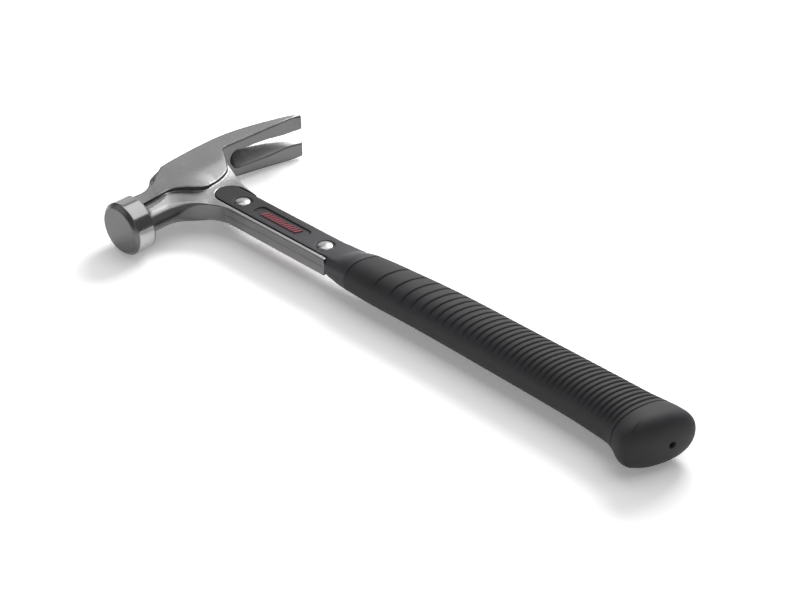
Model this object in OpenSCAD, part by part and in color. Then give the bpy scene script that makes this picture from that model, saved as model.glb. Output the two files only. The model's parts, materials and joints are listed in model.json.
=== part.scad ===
// Framing hammer lying on its side, in millimetres.
// +X runs down the handle to the butt, -Y is the way the face strikes and
// +Z goes up through the thickness. The poll's centre line crosses the
// handle's centre line at the hammer's own zero, and place() moves that zero
// so that the finished part stands on Z = 0 with its box centred in X and Y.

/* [Head] */
// Head length from the striking face to the claw tips
head_len = 152.9; // [140:165]
// Striking face to the handle's centre line
face_reach = 65.8; // [60:70]
// Poll diameter
poll_d = 32.8; // [31:0.2:34]
// Length of the poll's straight land
poll_len = 14.4; // [12:18]
// Chamfer round the striking face
face_chamfer = 2.45; // [1.5:0.05:3]
// Poll's centre line to the top of the crown
crown_h = 28.9; // [27:0.1:31]
// Thickness through the cheeks
cheek_t = 21.6; // [20:0.2:23]
// Width across the two claw tips
claw_spread = 30.5; // [28:0.5:30.5]
// Diameter of the round neck behind the poll
neck_d = 25.8; // [24:0.1:27]
// Flats forged on the neck, measured across
neck_flats = 15.2; // [14:0.2:16.4]
// Radius of the throat between the neck and the shank
throat_r = 24; // [18:28]
// Radius of the long curve between the claws and the shank
rear_throat_r = 107; // [90:130]
// Distance down the handle where that long curve ends
rear_throat_x = 45; // [40:50]

/* [Nail slot and nail starter] */
// Slot width at the claw tips, on the crown side
slot_tip_w = 6; // [5.6:0.2:7]
// Slot width at the root, on the crown side
slot_root_w = 0.8; // [0.6:0.1:1.6]
// Slot width on the underside, where a nail head goes in
slot_under_w = 12; // [11:0.5:13]
// Slot width on the underside at the claw tips
slot_under_tip_w = 10; // [9:0.5:10.5]
// Root of the slot on the crown, from the handle's centre line
slot_root_y = 43; // [41:46]
// Root of the slot on the underside, from the handle's centre line
slot_under_y = 33.5; // [32:36]
// Width of the nail starting groove
starter_w = 4.4; // [4:0.2:5]
// Depth of that groove's floor above the poll's centre line
starter_floor = 18.4; // [17.5:0.1:19.5]
// End wall of that groove, towards the face from the handle's centre line
starter_stop = 14.6; // [14:0.2:16]
// Magnet diameter
magnet_d = 5.2; // [4.6:0.2:6]
// Magnet length
magnet_len = 3.6; // [3:0.2:4.4]

/* [Shank] */
// Width of the shank, front to back
shank_w = 21.8; // [20:0.2:24]
// Thickness of the shank
shank_t = 11; // [10:0.2:12]
// Depth of the steel strap along the front edge
strap_w = 3; // [2.4:0.2:4]
// Thickness of the web between the side plates
web_t = 4; // [3:0.2:5]
// Where the strap ends, down the handle
strap_end = 114.6; // [108:120]
// Width of the tang inside the grip
tang_w = 15; // [12:16]
// Where the tang ends, down the handle
tang_end = 305; // [280:315]
// Length of the shallow recess in the front strap
recess_len = 64; // [55:65]
// Width of that recess
recess_w = 4.8; // [4:0.2:6]
// Depth of that recess
recess_depth = 0.8; // [0.4:0.1:1.2]

/* [Handle shells] */
// Where the side plates begin, down the handle
plate_x = 12.6; // [12:0.2:15]
// Height of a side plate's face above the centre plane
plate_z = 6; // [5.8:0.1:6.5]
// Width of a side plate
plate_w = 19; // [18:0.2:20]
// Gap between the rigid parts
fit_gap = 0.15; // [0.1:0.05:0.25]
// Length of the badge recess
badge_len = 43; // [38:46]
// Width of the badge recess
badge_w = 9.6; // [8.5:0.1:10.5]
// Start of the badge recess, down the handle
badge_x = 46.5; // [44:48]
// Depth of the badge recess
badge_depth = 0.8; // [0.5:0.1:1.2]
// Width of one slanted badge bar
bar_w = 1.95; // [1.6:0.05:2.2]
// Height of a badge bar across the handle
bar_h = 4.9; // [4:0.1:6]
// Pitch of the badge bars
bar_pitch = 2.5; // [2.4:0.1:3]
// Thickness of a badge bar
bar_t = 0.5; // [0.3:0.1:0.7]
// Number of badge bars
bar_count = 12; // [5:1:12]

/* [Rivets and pins] */
// Upper rivet, down the handle
upper_rivet_x = 34.4; // [33:36]
// Lower rivet, down the handle
lower_rivet_x = 104.9; // [103:106]
// Rivet head diameter
rivet_head_d = 9.8; // [9:0.1:10.4]
// Rivet head height
rivet_head_h = 1.7; // [1.4:0.1:2.2]
// Outer diameter of the rivet post's barrel
rivet_barrel_d = 6; // [5.5:0.1:6.5]
// Diameter of the rivet cap's stem
rivet_stem_d = 3.6; // [3:0.1:4]
// Depth of the round recess under a rivet head
rivet_sink = 0.7; // [0.5:0.1:1]
// Diameter of that recess
rivet_sink_d = 11; // [10.6:0.1:12]
// Radial gap round pins, stems and barrels
pin_gap = 0.05; // [0.03:0.01:0.1]
// Diameter of the tang pins
tang_pin_d = 4; // [3:0.2:5]
// Upper tang pin, down the handle
upper_pin_x = 165; // [155:175]
// Lower tang pin, down the handle
lower_pin_x = 280; // [270:290]

/* [Grip] */
// Where the rubber starts on the handle's centre line
grip_start = 136.4; // [132:140]
// Length of the ribbed sleeve
sleeve_len = 197; // [180:205]
// Length of the butt cap
butt_len = 18.6; // [16:22]
// Rubber wall thickness
wall = 3; // [2.5:0.1:3.5]
// Gap under the rubber
grip_gap = 0.3; // [0.2:0.05:0.4]
// Half width of the grip just behind its start, front to back
grip_a = 13.8; // [13:0.1:15]
// Half thickness of the grip there
grip_b = 10.9; // [10.2:0.1:11.4]
// Half width of the butt knob
butt_a = 21.3; // [19:0.1:23]
// Half thickness of the butt knob
butt_b = 15.25; // [14:0.05:15.25]
// Slant of the grooves, along the handle per unit towards the claws
groove_slant = 0.25; // [0.2:0.01:0.3]
// Slant of the butt's end
butt_slant = 0.33; // [0.28:0.01:0.38]
// Width of a groove
groove_w = 1.1; // [0.8:0.1:1.4]
// Depth of a groove
groove_depth = 0.8; // [0.5:0.1:1.2]
// Number of grooves
groove_count = 40; // [30:40]
// Hang hole diameter
hang_d = 3.6; // [3:0.2:5]
// Hang hole depth
hang_depth = 8; // [6:0.5:9]

/* [Hidden] */
$fn = 64;
// Points round one section of the handle, and steps along a smooth outline
ring_n = 32;
curve_steps = 3;
// Overrun of every cut past the face it leaves
over = shank_t / 10;
// Superellipse power of the handle sections
oval_power = 2.3;

// Outline points of the head: share of its length back from the face, then
// share of the crown's height above the poll's centre line
crown_shares = [[0.1, 0.45], [0.149, 0.436], [0.185, 0.419], [0.217, 0.446],
    [0.239, 0.505], [0.26, 0.595], [0.293, 0.727], [0.324, 0.841]];
top_shares = [[0.347, 0.927], [0.417, 0.968], [0.483, 0.988], [0.553, 1],
    [0.646, 0.986], [0.729, 0.91], [0.804, 0.785], [0.879, 0.633],
    [0.95, 0.465], [0.985, 0.365]];
under_shares = [[0.985, 0.283], [0.94, 0.335], [0.889, 0.375], [0.797, 0.443],
    [0.719, 0.49], [0.64, 0.545]];
cheek_shares = [[0.608, 0.535], [0.576, 0.235], [0.549, 0.028],
    [0.526, -0.125], [0.481, -0.228], [0.429, -0.277], [0.385, -0.308],
    [0.347, -0.221], [0.322, -0.09], [0.289, 0.052], [0.256, 0.09]];
neck_end_share = [0.1, 0.076];
tip_share = [1, 0.285];
// Share of the head's length, then share of the cheeks' half thickness
taper_shares = [[0.09, 0.833], [0.162, 0.843], [0.254, 0.898], [0.334, 0.954],
    [0.424, 1]];
// Share of the head's length, then share of the flare out to the claw tips
flare_shares = [[0.528, 0.13], [0.626, 0.27], [0.721, 0.45], [0.821, 0.67],
    [0.92, 0.9], [1.01, 1]];
// Share of the crown's height, then share from shank to cheek thickness
band_shares = [[1, 1.04], [0.55, 1.04], [0.1, 0.55], [-0.14, 0.43],
    [-0.31, 0.32], [-0.48, 0.17], [-0.66, 0.04], [-0.83, 0]];
// Corners of the band's hidden edge under the cheeks, like the head's outline
band_edge_shares = [[0.6, 0.58], [0.32, 0.3], [0.19, 0.2]];
// Shares of the crown's height where the nail slot's two faces begin and end
slot_crown_shares = [1.08, 0.4];
slot_under_shares = [0.45, 0.23];
// Share of the poll's shoulder that is rounded off
shoulder_share = 0.3;
// Sideways shift of the neck as a share of the crown's height
neck_shift_share = 0.02;
// Sections of the shells' collar: share from the strap's end to the rubber,
// sideways offset, half width and half thickness as shares of the grip's
collar_shares = [[-0.5, 0.014, 0.79, 0.53], [0, 0.022, 0.82, 0.69],
    [0.34, 0.036, 0.9, 0.86], [0.66, 0.05, 0.95, 0.945], [1, 0.072, 1, 1]];
// Sections of the sleeve: share of its length, sideways offset as a share of
// the grip's half width, then how far the half width and the half thickness
// have grown from the grip's towards the butt knob's
sleeve_shares = [[0, 0.072, 0, 0], [0.084, 0.1, 0.12, 0.115],
    [0.29, 0.19, 0.28, 0.16], [0.55, 0.145, 0.31, 0.3],
    [0.81, 0.08, 0.375, 0.39], [0.97, -0.045, 0.56, 0.575],
    [1, -0.12, 0.66, 0.7]];
// Sections of the butt cap: share of its length, then the same three shares
// and the share of the slant that the end has reached
butt_shares = [[0, -0.12, 0.66, 0.7, 0.1], [0.3, -0.26, 0.96, 0.96, 0.7],
    [0.5, -0.33, 1, 1, 1], [0.72, -0.36, 0.76, 0.7, 1],
    [0.87, -0.36, 0.3, 0.15, 1], [0.96, -0.25, -0.38, -0.7, 1],
    [1, -0.2, -1, -1.6, 1]];

// Spigot of the shells in the butt cap: share of the cap's length, then
// shares of the grip's half width and half thickness
spigot_share = 0.32;
spigot_end_shares = [0.72, 0.65];
// Corner radius of the badge recess, and lean of a bar, as shares
badge_round_share = 0.35;
bar_lean_share = 0.18;
// How much wider the first groove pitch is than the last, and how fast the
// pitches close up
pitch_lead_share = 6.46;
pitch_power = 1.02;

poll_r = poll_d / 2;
butt_x = grip_start + sleeve_len;
neck_x = crown_h * neck_shift_share;
plate_y = shank_w / 2 - plate_w / 2 + fit_gap;
plate_front = plate_y - plate_w / 2;
rivet_floor = plate_z - rivet_sink;
magnet_y = -(starter_stop + magnet_d);
plate_end = mix(strap_end, grip_start, collar_shares[2][0]);
spigot_len = butt_len * spigot_share;
hang_y = butt_shares[6][1] * grip_a;
lip = groove_w / 2;
slice_t = over / 10;
magnet_lift = over / 4;

// Smooth curve through a list of points
function knot(p, i) = p[max(0, min(len(p) - 1, i))];
function blend(a, b, c, d, t) = 0.5 * (2 * b + (c - a) * t
    + (2 * a - 5 * b + 4 * c - d) * t * t
    + (3 * b - 3 * c + d - a) * t * t * t);
function smooth(p) = [for (i = [0 : len(p) - 2]) for (s = [0 : curve_steps - 1])
    blend(knot(p, i - 1), p[i], p[i + 1], knot(p, i + 2), s / curve_steps),
    p[len(p) - 1]];
function sum(v, n) = n <= 0 ? 0 : v[n - 1] + sum(v, n - 1);
function mix(a, b, t) = a + (b - a) * t;

// Head outline share to a place in the side view
function head_at(s) = [-s[1] * crown_h, s[0] * head_len - face_reach];
function along(s) = s * head_len - face_reach;
function arc(cx, cy, r, from, to) = [for (i = [0 : 2 * curve_steps + 2])
    let (a = mix(from, to, i / (2 * curve_steps + 2)))
    [cx + r * cos(a), cy + r * sin(a)]];

// Handle sections: place down the handle, offset, half width, half
// thickness and slant
function collar_section(s) = [mix(strap_end, grip_start, s[0]),
    s[1] * grip_a, s[2] * grip_a, s[3] * grip_b,
    groove_slant * max(0, s[0])];
function sleeve_section(s) = [grip_start + s[0] * sleeve_len, s[1] * grip_a,
    mix(grip_a, butt_a, s[2]), mix(grip_b, butt_b, s[3]), groove_slant];
function butt_section(s) = [butt_x + s[0] * butt_len, s[1] * grip_a,
    mix(grip_a, butt_a, s[2]), mix(grip_b, butt_b, s[3]),
    mix(groove_slant, butt_slant, s[4])];
sleeve_sections = [for (s = smooth(sleeve_shares)) sleeve_section(s)];
butt_sections = [for (s = butt_shares) butt_section(s)];
collar_sections = [for (s = smooth(collar_shares)) collar_section(s)];
butt_end = max([for (s = butt_sections) s[0] + s[4] * s[2]]);

// Section of the sleeve at any place down the handle
function span(x, i) = i >= len(sleeve_sections) - 2
    || sleeve_sections[i + 1][0] >= x ? i : span(x, i + 1);
function section_at(x) = let (i = span(x, 0), a = sleeve_sections[i],
    b = sleeve_sections[i + 1])
    mix(a, b, (x - a[0]) / (b[0] - a[0]));

// Grooves close up towards the butt: their pitch falls off with their number
pitch_shares = [for (i = [0 : groove_count - 1])
    1 + pitch_lead_share / pow(i + 1, pitch_power)];
pitch_unit = sleeve_len / sum(pitch_shares, groove_count);
function groove_x(i) = grip_start + pitch_unit * sum(pitch_shares, i);

// The grooves die out before they reach the smooth front of the grip
fade_start = 140;
fade_end = 160;
function fade(t) = let (u = abs(t > 180 ? t - 360 : t))
    max(0, min(1, (fade_end - u) / (fade_end - fade_start)));

function oval(v) = sign(v) * pow(abs(v), 2 / oval_power);
function ring(s, grow = 0, cut = 0) = [for (j = [0 : ring_n - 1])
    let (t = 360 * j / ring_n, less = grow - cut * fade(t),
        y = (s[2] + less) * oval(cos(t)))
    [s[0] + s[4] * y, s[1] + y, (s[3] + less) * oval(sin(t))]];

// Sides between two rings of points, and a closed solid through many
function sides(first, count, flip) = [for (i = [0 : count - 2])
    for (j = [0 : ring_n - 1]) let (a = first + i * ring_n + j,
        b = first + i * ring_n + (j + 1) % ring_n, c = a + ring_n,
        d = b + ring_n)
    each flip ? [[a, b, c], [b, d, c]] : [[a, c, b], [b, c, d]]];
function flat(rings) = [for (r = rings) each r];

module loft(rings) {
    last = (len(rings) - 1) * ring_n;
    polyhedron(flat(rings), concat(sides(0, len(rings), false),
        [[for (j = [0 : ring_n - 1]) j]],
        [[for (j = [ring_n - 1 : -1 : 0]) last + j]]));
}

module tube_loft(outer, inner) {
    n = len(outer);
    m = len(inner);
    base = n * ring_n;
    ends = [for (j = [0 : ring_n - 1]) let (k = (j + 1) % ring_n,
        o = (n - 1) * ring_n, i = base + (m - 1) * ring_n)
        each [[j, k, base + j], [k, base + k, base + j],
            [o + j, i + j, o + k], [o + k, i + j, i + k]]];
    polyhedron(flat(concat(outer, inner)), concat(sides(0, n, false),
        sides(base, m, true), ends));
}

// Moves the hammer's own zero to its place above the part's origin
module place() {
    translate([(crown_h - butt_end) / 2, face_reach - head_len / 2, poll_r])
        children();
}

// A solid drawn in the side view and given a thickness about the centre plane
module slab(points, t) {
    linear_extrude(t, center = true) polygon(points);
}

// A round bar along Z, from one height to another
module post(d, z0, z1) {
    translate([0, 0, z0]) cylinder(d = d, h = z1 - z0);
}

module poll() {
    shoulder = poll_r - neck_d / 2;
    turn = shoulder * shoulder_share;
    profile = [[0, 0], [poll_r - face_chamfer, 0], [poll_r, face_chamfer],
        [poll_r, poll_len - turn], [poll_r - turn, poll_len],
        [neck_d / 2, poll_len + shoulder - turn],
        [0, poll_len + shoulder - turn]];
    translate([0, -face_reach, 0]) rotate([-90, 0, 0])
        rotate_extrude() polygon(profile);
}

module neck() {
    reach = along(cheek_shares[8][0]) + face_reach - poll_len;
    intersection() {
        translate([-neck_x, -face_reach + poll_len, 0]) rotate([-90, 0, 0])
            cylinder(d = neck_d, h = reach);
        cube([poll_d * 2, head_len * 2, neck_flats], center = true);
    }
}

// Crown, cheeks and claws: the side view cut to the plan view
module crown_and_claws() {
    outline = concat([for (s = crown_shares) head_at(s)],
        [for (s = smooth(top_shares)) head_at(s)], [head_at(tip_share)],
        [for (s = smooth(under_shares)) head_at(s)],
        [for (s = smooth(cheek_shares)) head_at(s)], [head_at(neck_end_share)]);
    flare = (claw_spread - cheek_t) / 2;
    half = concat([for (s = taper_shares) [along(s[0]), s[1] * cheek_t / 2]],
        [for (s = flare_shares) [along(s[0]), cheek_t / 2 + s[1] * flare]]);
    n = len(half);
    plan = concat(half, [for (i = [n - 1 : -1 : 0]) [half[i][0], -half[i][1]]]);
    intersection() {
        slab(outline, claw_spread * 2);
        rotate([90, 0, 90]) linear_extrude(crown_h * 4, center = true)
            polygon(plan);
    }
}

// Band below the cheeks, running from the neck and the claws into the shank
module band_and_shank() {
    half = shank_w / 2;
    under = neck_d / 2 - neck_x;
    front = arc(under + throat_r, -half - throat_r, throat_r, 180, 90);
    turn = asin(rear_throat_x / rear_throat_r);
    rear = arc(rear_throat_x, half + rear_throat_r, rear_throat_r, -90,
        -90 - turn - asin(crown_h / 2 / rear_throat_r));
    outline = concat([[under, -half - throat_r - poll_len]], front,
        [[strap_end, -half], [strap_end, half]], rear,
        [for (s = band_edge_shares) head_at(s)],
        [head_at(neck_end_share)]);
    grow = (cheek_t - shank_t) / 2;
    side = [for (s = band_shares) [-s[0] * crown_h, shank_t / 2 + s[1] * grow]];
    n = len(side);
    view = concat(side, [[strap_end + over, shank_t / 2],
        [strap_end + over, -shank_t / 2]],
        [for (i = [n - 1 : -1 : 0]) [side[i][0], -side[i][1]]]);
    intersection() {
        slab(outline, cheek_t * 2);
        rotate([90, 0, 0]) linear_extrude(head_len * 2, center = true)
            polygon(view);
    }
}

// Outline of a side plate in the side view
module plate_outline(gap = 0) {
    r = plate_w / 2 + gap;
    translate([plate_x + plate_w / 2, plate_y]) circle(r);
    translate([plate_x + plate_w / 2, plate_y - r])
        square([plate_end - plate_x - plate_w / 2, 2 * r]);
}

// The V between the claws: narrow on the crown, wide on the underside
module nail_slot() {
    deep = head_len - face_reach + over;
    crown_from = [-crown_h * slot_crown_shares[0], slot_root_y];
    crown_to = [-crown_h * slot_crown_shares[1], deep];
    under_from = [-crown_h * slot_under_shares[0], slot_under_y];
    under_to = [-crown_h * slot_under_shares[1], deep];
    crown_l = norm(crown_to - crown_from);
    under_l = norm(under_to - under_from);
    crown_a = atan2(crown_to[1] - crown_from[1], crown_to[0] - crown_from[0]);
    under_a = atan2(under_to[1] - under_from[1], under_to[0] - under_from[0]);
    hull() {
        translate(crown_from) rotate([90, 0, crown_a])
            linear_extrude(slice_t) polygon([[0, -slot_root_w / 2],
                [crown_l, -slot_tip_w / 2], [crown_l, slot_tip_w / 2],
                [0, slot_root_w / 2]]);
        translate(under_from) rotate([90, 0, under_a])
            linear_extrude(slice_t) hull() {
                translate([slot_under_w / 2, 0]) circle(d = slot_under_w, $fn = 24);
                translate([under_l, -slot_under_tip_w / 2])
                    square([over, slot_under_tip_w]);
            }
    }
}

// Groove across the front of the crown that holds a nail, and its magnet hole
module nail_starter() {
    reach = face_reach - poll_len - starter_stop;
    translate([-starter_floor - starter_w / 2, -starter_stop - reach, 0]) {
        rotate([-90, 0, 0]) cylinder(d = starter_w, h = reach);
        translate([-crown_h, 0, -starter_w / 2])
            cube([crown_h, reach, starter_w]);
    }
    translate([-starter_floor - starter_w, magnet_y, 0]) rotate([0, 90, 0])
        cylinder(d = magnet_d + 2 * pin_gap, h = starter_w + magnet_len);
}

module head_forging() {
    color([0.6, 0.61, 0.62]) place() difference() {
        union() {
            poll();
            neck();
            crown_and_claws();
            band_and_shank();
            translate([strap_end - over, -tang_w / 2, -web_t / 2])
                cube([tang_end - strap_end + over, tang_w, web_t]);
        }
        nail_slot();
        nail_starter();
        for (s = [-1, 1]) translate([0, 0, s * (web_t + cheek_t) / 2])
            linear_extrude(cheek_t, center = true) plate_outline(fit_gap);
        translate([strap_end - recess_len - strap_w / 2, -shank_w / 2, 0])
            cube([recess_len * 2, recess_depth * 2, recess_w], center = true);
        for (x = [upper_rivet_x, lower_rivet_x]) translate([x, 0, 0])
            post(rivet_barrel_d + 2 * pin_gap, -web_t, web_t);
        for (x = [upper_pin_x, lower_pin_x]) translate([x, 0, 0])
            post(tang_pin_d + 2 * pin_gap, -web_t, web_t);
    }
}

module starter_magnet() {
    color([0.35, 0.36, 0.38]) place()
        translate([-starter_floor + magnet_lift, magnet_y, 0])
            rotate([0, 90, 0])
            cylinder(d = magnet_d, h = magnet_len - magnet_lift);
}

// Upper half of the handle's hard body: side plate, collar and core
module shell() {
    core = [for (s = sleeve_sections) ring(s, -wall - grip_gap)];
    first = collar_sections[len(collar_sections) - 2];
    last = sleeve_sections[len(sleeve_sections) - 1];
    difference() {
        union() {
            translate([0, 0, web_t / 2])
                linear_extrude(plate_z - web_t / 2) plate_outline();
            intersection() {
                union() {
                    loft([for (s = collar_sections) ring(s)]);
                    loft(concat([ring(first, -wall)], core));
                    loft([ring(last, -wall * 2), spigot(0)]);
                }
                translate([0, -shank_w * 2, 0])
                    cube([head_len * 4, shank_w * 4, shank_t * 4]);
            }
        }
        // room for the strap, the web and the tang
        translate([0, plate_front - shank_w, -over])
            cube([strap_end + fit_gap, shank_w, shank_t * 2]);
        translate([0, -shank_w, -over])
            cube([strap_end + fit_gap, shank_w * 2, web_t / 2 + over]);
        translate([0, -tang_w / 2 - fit_gap, -over])
            cube([tang_end + fit_gap, tang_w + 2 * fit_gap, web_t / 2 + over]);
        for (x = [upper_rivet_x, lower_rivet_x]) translate([x, 0, 0]) {
            post(rivet_barrel_d + 2 * pin_gap, 0, plate_z + over);
            post(rivet_sink_d, rivet_floor, plate_z * 2);
        }
        for (x = [upper_pin_x, lower_pin_x]) translate([x, 0, 0])
            post(tang_pin_d + 2 * pin_gap, 0, grip_b * 2);
        translate([badge_x + badge_len / 2, 0, plate_z - badge_depth])
            linear_extrude(badge_depth + over) badge_outline();
    }
}

// Far ring of the spigot that the butt cap sits on
function spigot(gap) = let (s = butt_sections[0])
    ring([s[0] + spigot_len + gap, s[1], grip_a * spigot_end_shares[0],
        grip_b * spigot_end_shares[1], s[4]], gap);

module badge_outline() {
    r = badge_w * badge_round_share;
    hull() for (x = [-1, 1], y = [-1, 1])
        translate([x * (badge_len / 2 - r), y * (badge_w / 2 - r)]) circle(r);
}

module handle_shell_left() {
    color([0.2, 0.2, 0.22]) place() shell();
}

module handle_shell_right() {
    color([0.2, 0.2, 0.22]) place() mirror([0, 0, 1]) shell();
}

// Row of slanted bars lying on the floor of the badge recess
module badge() {
    lean = bar_h * bar_lean_share;
    for (i = [0 : bar_count - 1])
        translate([badge_x + badge_len / 2 + (i - (bar_count - 1) / 2) * bar_pitch,
            0, plate_z - badge_depth])
            linear_extrude(bar_t) polygon([
                [-bar_w / 2 - lean, -bar_h / 2], [bar_w / 2 - lean, -bar_h / 2],
                [bar_w / 2 + lean, bar_h / 2], [-bar_w / 2 + lean, bar_h / 2]]);
}

module badge_left() {
    color([0.6, 0.12, 0.16]) place() badge();
}

module badge_right() {
    color([0.6, 0.12, 0.16]) place() mirror([0, 0, 1]) badge();
}

// Low domed rivet head whose flat side lies at Z = 0
module rivet_head() {
    r = (pow(rivet_head_d / 2, 2) + pow(rivet_head_h, 2)) / rivet_head_h / 2;
    intersection() {
        translate([0, 0, rivet_head_h - r]) sphere(r);
        cylinder(d = rivet_head_d + over, h = rivet_head_h + over);
    }
}

// Hollow half of a rivet, with its head on the lower side
module rivet_post(x) {
    place() translate([x, 0, 0]) difference() {
        union() {
            translate([0, 0, -rivet_floor]) mirror([0, 0, 1]) rivet_head();
            post(rivet_barrel_d, -rivet_floor, rivet_floor - fit_gap);
        }
        post(rivet_stem_d + 2 * pin_gap, -rivet_floor, rivet_floor);
    }
}

// Solid half of a rivet, with its head on the upper side
module rivet_cap(x) {
    place() translate([x, 0, 0]) {
        translate([0, 0, rivet_floor]) rivet_head();
        post(rivet_stem_d, -rivet_floor + fit_gap, rivet_floor);
    }
}

module upper_rivet_post() {
    color([0.8, 0.8, 0.8]) rivet_post(upper_rivet_x);
}

module upper_rivet_cap() {
    color([0.85, 0.85, 0.85]) rivet_cap(upper_rivet_x);
}

module lower_rivet_post() {
    color([0.8, 0.8, 0.8]) rivet_post(lower_rivet_x);
}

module lower_rivet_cap() {
    color([0.85, 0.85, 0.85]) rivet_cap(lower_rivet_x);
}

// Cross pin that ties both shells to the tang under the rubber
module tang_pin(x) {
    half = section_at(x)[3] - wall - grip_gap - over;
    place() translate([x, 0, 0]) post(tang_pin_d, -half, half);
}

module upper_tang_pin() {
    color([0.7, 0.7, 0.72]) tang_pin(upper_pin_x);
}

module lower_tang_pin() {
    color([0.7, 0.7, 0.72]) tang_pin(lower_pin_x);
}

// Rubber sleeve: a tube whose outside is notched at every groove
module grip_sleeve() {
    first = sleeve_sections[0];
    last = sleeve_sections[len(sleeve_sections) - 1];
    seam = [fit_gap, 0, 0, 0, 0];
    far = [lip, 0, 0, 0, 0];
    outer = concat([ring(first + seam, -lip), ring(first + far)],
        [for (i = [1 : groove_count - 1]) for (k = [-1, 0, 1])
            ring(section_at(groove_x(i) + k * groove_w / 2), 0,
                k == 0 ? groove_depth : 0)],
        [ring(last - far), ring(last - seam, -lip)]);
    n = len(sleeve_sections);
    inner = concat([ring(first + seam, -wall)],
        [for (i = [1 : n - 2]) ring(sleeve_sections[i], -wall)],
        [ring(last - seam, -wall)]);
    color([0.15, 0.15, 0.16]) place() tube_loft(outer, inner);
}

// Knob that closes the grip, with the hang hole in its end
module butt_cap() {
    first = butt_sections[0];
    n = len(butt_sections);
    color([0.13, 0.13, 0.14]) place() difference() {
        loft(concat([ring(first, -lip), ring(first + [lip, 0, 0, 0, 0])],
            [for (i = [1 : n - 1]) ring(butt_sections[i])]));
        loft([ring(first - [over, 0, 0, 0, 0], -wall * 2 + grip_gap),
            spigot(grip_gap)]);
        translate([butt_x + butt_len - hang_depth, hang_y, 0])
            rotate([0, 90, 0]) cylinder(d = hang_d, h = butt_len);
    }
}

head_forging();
starter_magnet();
handle_shell_left();
handle_shell_right();
badge_left();
badge_right();
upper_rivet_post();
upper_rivet_cap();
lower_rivet_post();
lower_rivet_cap();
upper_tang_pin();
lower_tang_pin();
grip_sleeve();
butt_cap();
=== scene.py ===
"""Framing hammer lying on its side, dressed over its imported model.

Sizes inside the classes are millimetres in the hammer's own frame: X runs
down the handle, Y towards the claws and Z up through the thickness, from the
point where the poll's and the handle's centre lines cross. Meshes are turned
to metres in the part's frame by to_part().
"""

import json
import logging
import math
from collections.abc import Callable, Sequence
from dataclasses import dataclass
from enum import Enum
from itertools import combinations

import bpy
import numpy as np
from mathutils import Matrix, Vector

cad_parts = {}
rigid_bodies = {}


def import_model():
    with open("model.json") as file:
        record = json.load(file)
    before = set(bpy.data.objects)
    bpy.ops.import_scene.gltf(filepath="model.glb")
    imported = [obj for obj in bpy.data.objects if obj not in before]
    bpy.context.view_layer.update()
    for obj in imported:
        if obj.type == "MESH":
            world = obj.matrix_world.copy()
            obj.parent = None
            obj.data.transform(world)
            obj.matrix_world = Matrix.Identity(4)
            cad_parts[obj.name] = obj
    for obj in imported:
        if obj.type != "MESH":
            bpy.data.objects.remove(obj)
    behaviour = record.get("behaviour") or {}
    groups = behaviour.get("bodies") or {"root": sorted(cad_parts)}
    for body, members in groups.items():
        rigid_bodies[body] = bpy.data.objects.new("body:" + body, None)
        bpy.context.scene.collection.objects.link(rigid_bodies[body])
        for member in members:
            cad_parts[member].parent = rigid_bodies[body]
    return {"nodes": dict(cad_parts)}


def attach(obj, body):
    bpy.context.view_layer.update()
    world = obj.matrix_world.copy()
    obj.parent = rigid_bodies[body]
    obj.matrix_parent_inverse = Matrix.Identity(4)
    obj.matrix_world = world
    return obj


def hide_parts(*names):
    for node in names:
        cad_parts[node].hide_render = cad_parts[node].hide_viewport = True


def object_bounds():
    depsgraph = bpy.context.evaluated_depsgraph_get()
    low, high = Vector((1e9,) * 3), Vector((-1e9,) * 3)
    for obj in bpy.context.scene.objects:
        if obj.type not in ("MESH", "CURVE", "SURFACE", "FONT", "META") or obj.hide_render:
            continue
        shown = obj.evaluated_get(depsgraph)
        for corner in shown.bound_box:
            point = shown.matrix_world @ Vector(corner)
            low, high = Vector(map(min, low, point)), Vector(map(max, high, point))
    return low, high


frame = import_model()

Array = np.ndarray
Field = Callable[[Array, Array, Array], Array]
Pair = tuple[float, float]
Place = tuple[float, float, float]
Path = Sequence[Pair]

CAD_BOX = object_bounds()
LOG = logging.getLogger("hammer")
BODY = "root"
MM = 0.001

# How far the crown and the face lie from the centre lines, the half thickness
# of the web, and the places and clearance holes of the rivets and cross pins.
CROWN_H = 28.9
FACE_REACH = 65.8
WEB_Z = 2.0
RIVETS_X = (34.4, 104.9)
RIVET_BORE = 3.05
PINS_X = (165.0, 280.0)
PIN_BORE = 2.05
ZERO = np.array([
    CAD_BOX[0][0] / MM + CROWN_H,
    CAD_BOX[0][1] / MM + FACE_REACH,
    CAD_BOX[1][2] / MM / 2,
])


class Side(Enum):
    """Which side of the hammer a piece faces."""

    UPPER = 1
    LOWER = -1


# Curves

def to_part(points: Array) -> Array:
    """Turn millimetres in the hammer's frame to metres in the part's."""
    return (np.asarray(points, float) + ZERO) * MM


def smooth_path(points: Path, steps: int) -> Array:
    """Run a smooth curve through a list of points.

    Args:
        points: The points to pass through.
        steps: Pieces between two neighbouring points.

    Returns:
        The curve's points, ends included.
    """
    p = np.asarray(points, float)
    p = np.vstack([2 * p[0] - p[1], p, 2 * p[-1] - p[-2]])
    t = (np.arange(steps) / steps)[:, None]
    spans = [
        0.5 * (2 * p[i] + (p[i + 1] - p[i - 1]) * t
               + (2 * p[i - 1] - 5 * p[i] + 4 * p[i + 1] - p[i + 2]) * t ** 2
               + (3 * p[i] - 3 * p[i + 1] + p[i + 2] - p[i - 1]) * t ** 3)
        for i in range(1, len(p) - 2)
    ]
    return np.vstack([*spans, p[-2:-1]])


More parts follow.
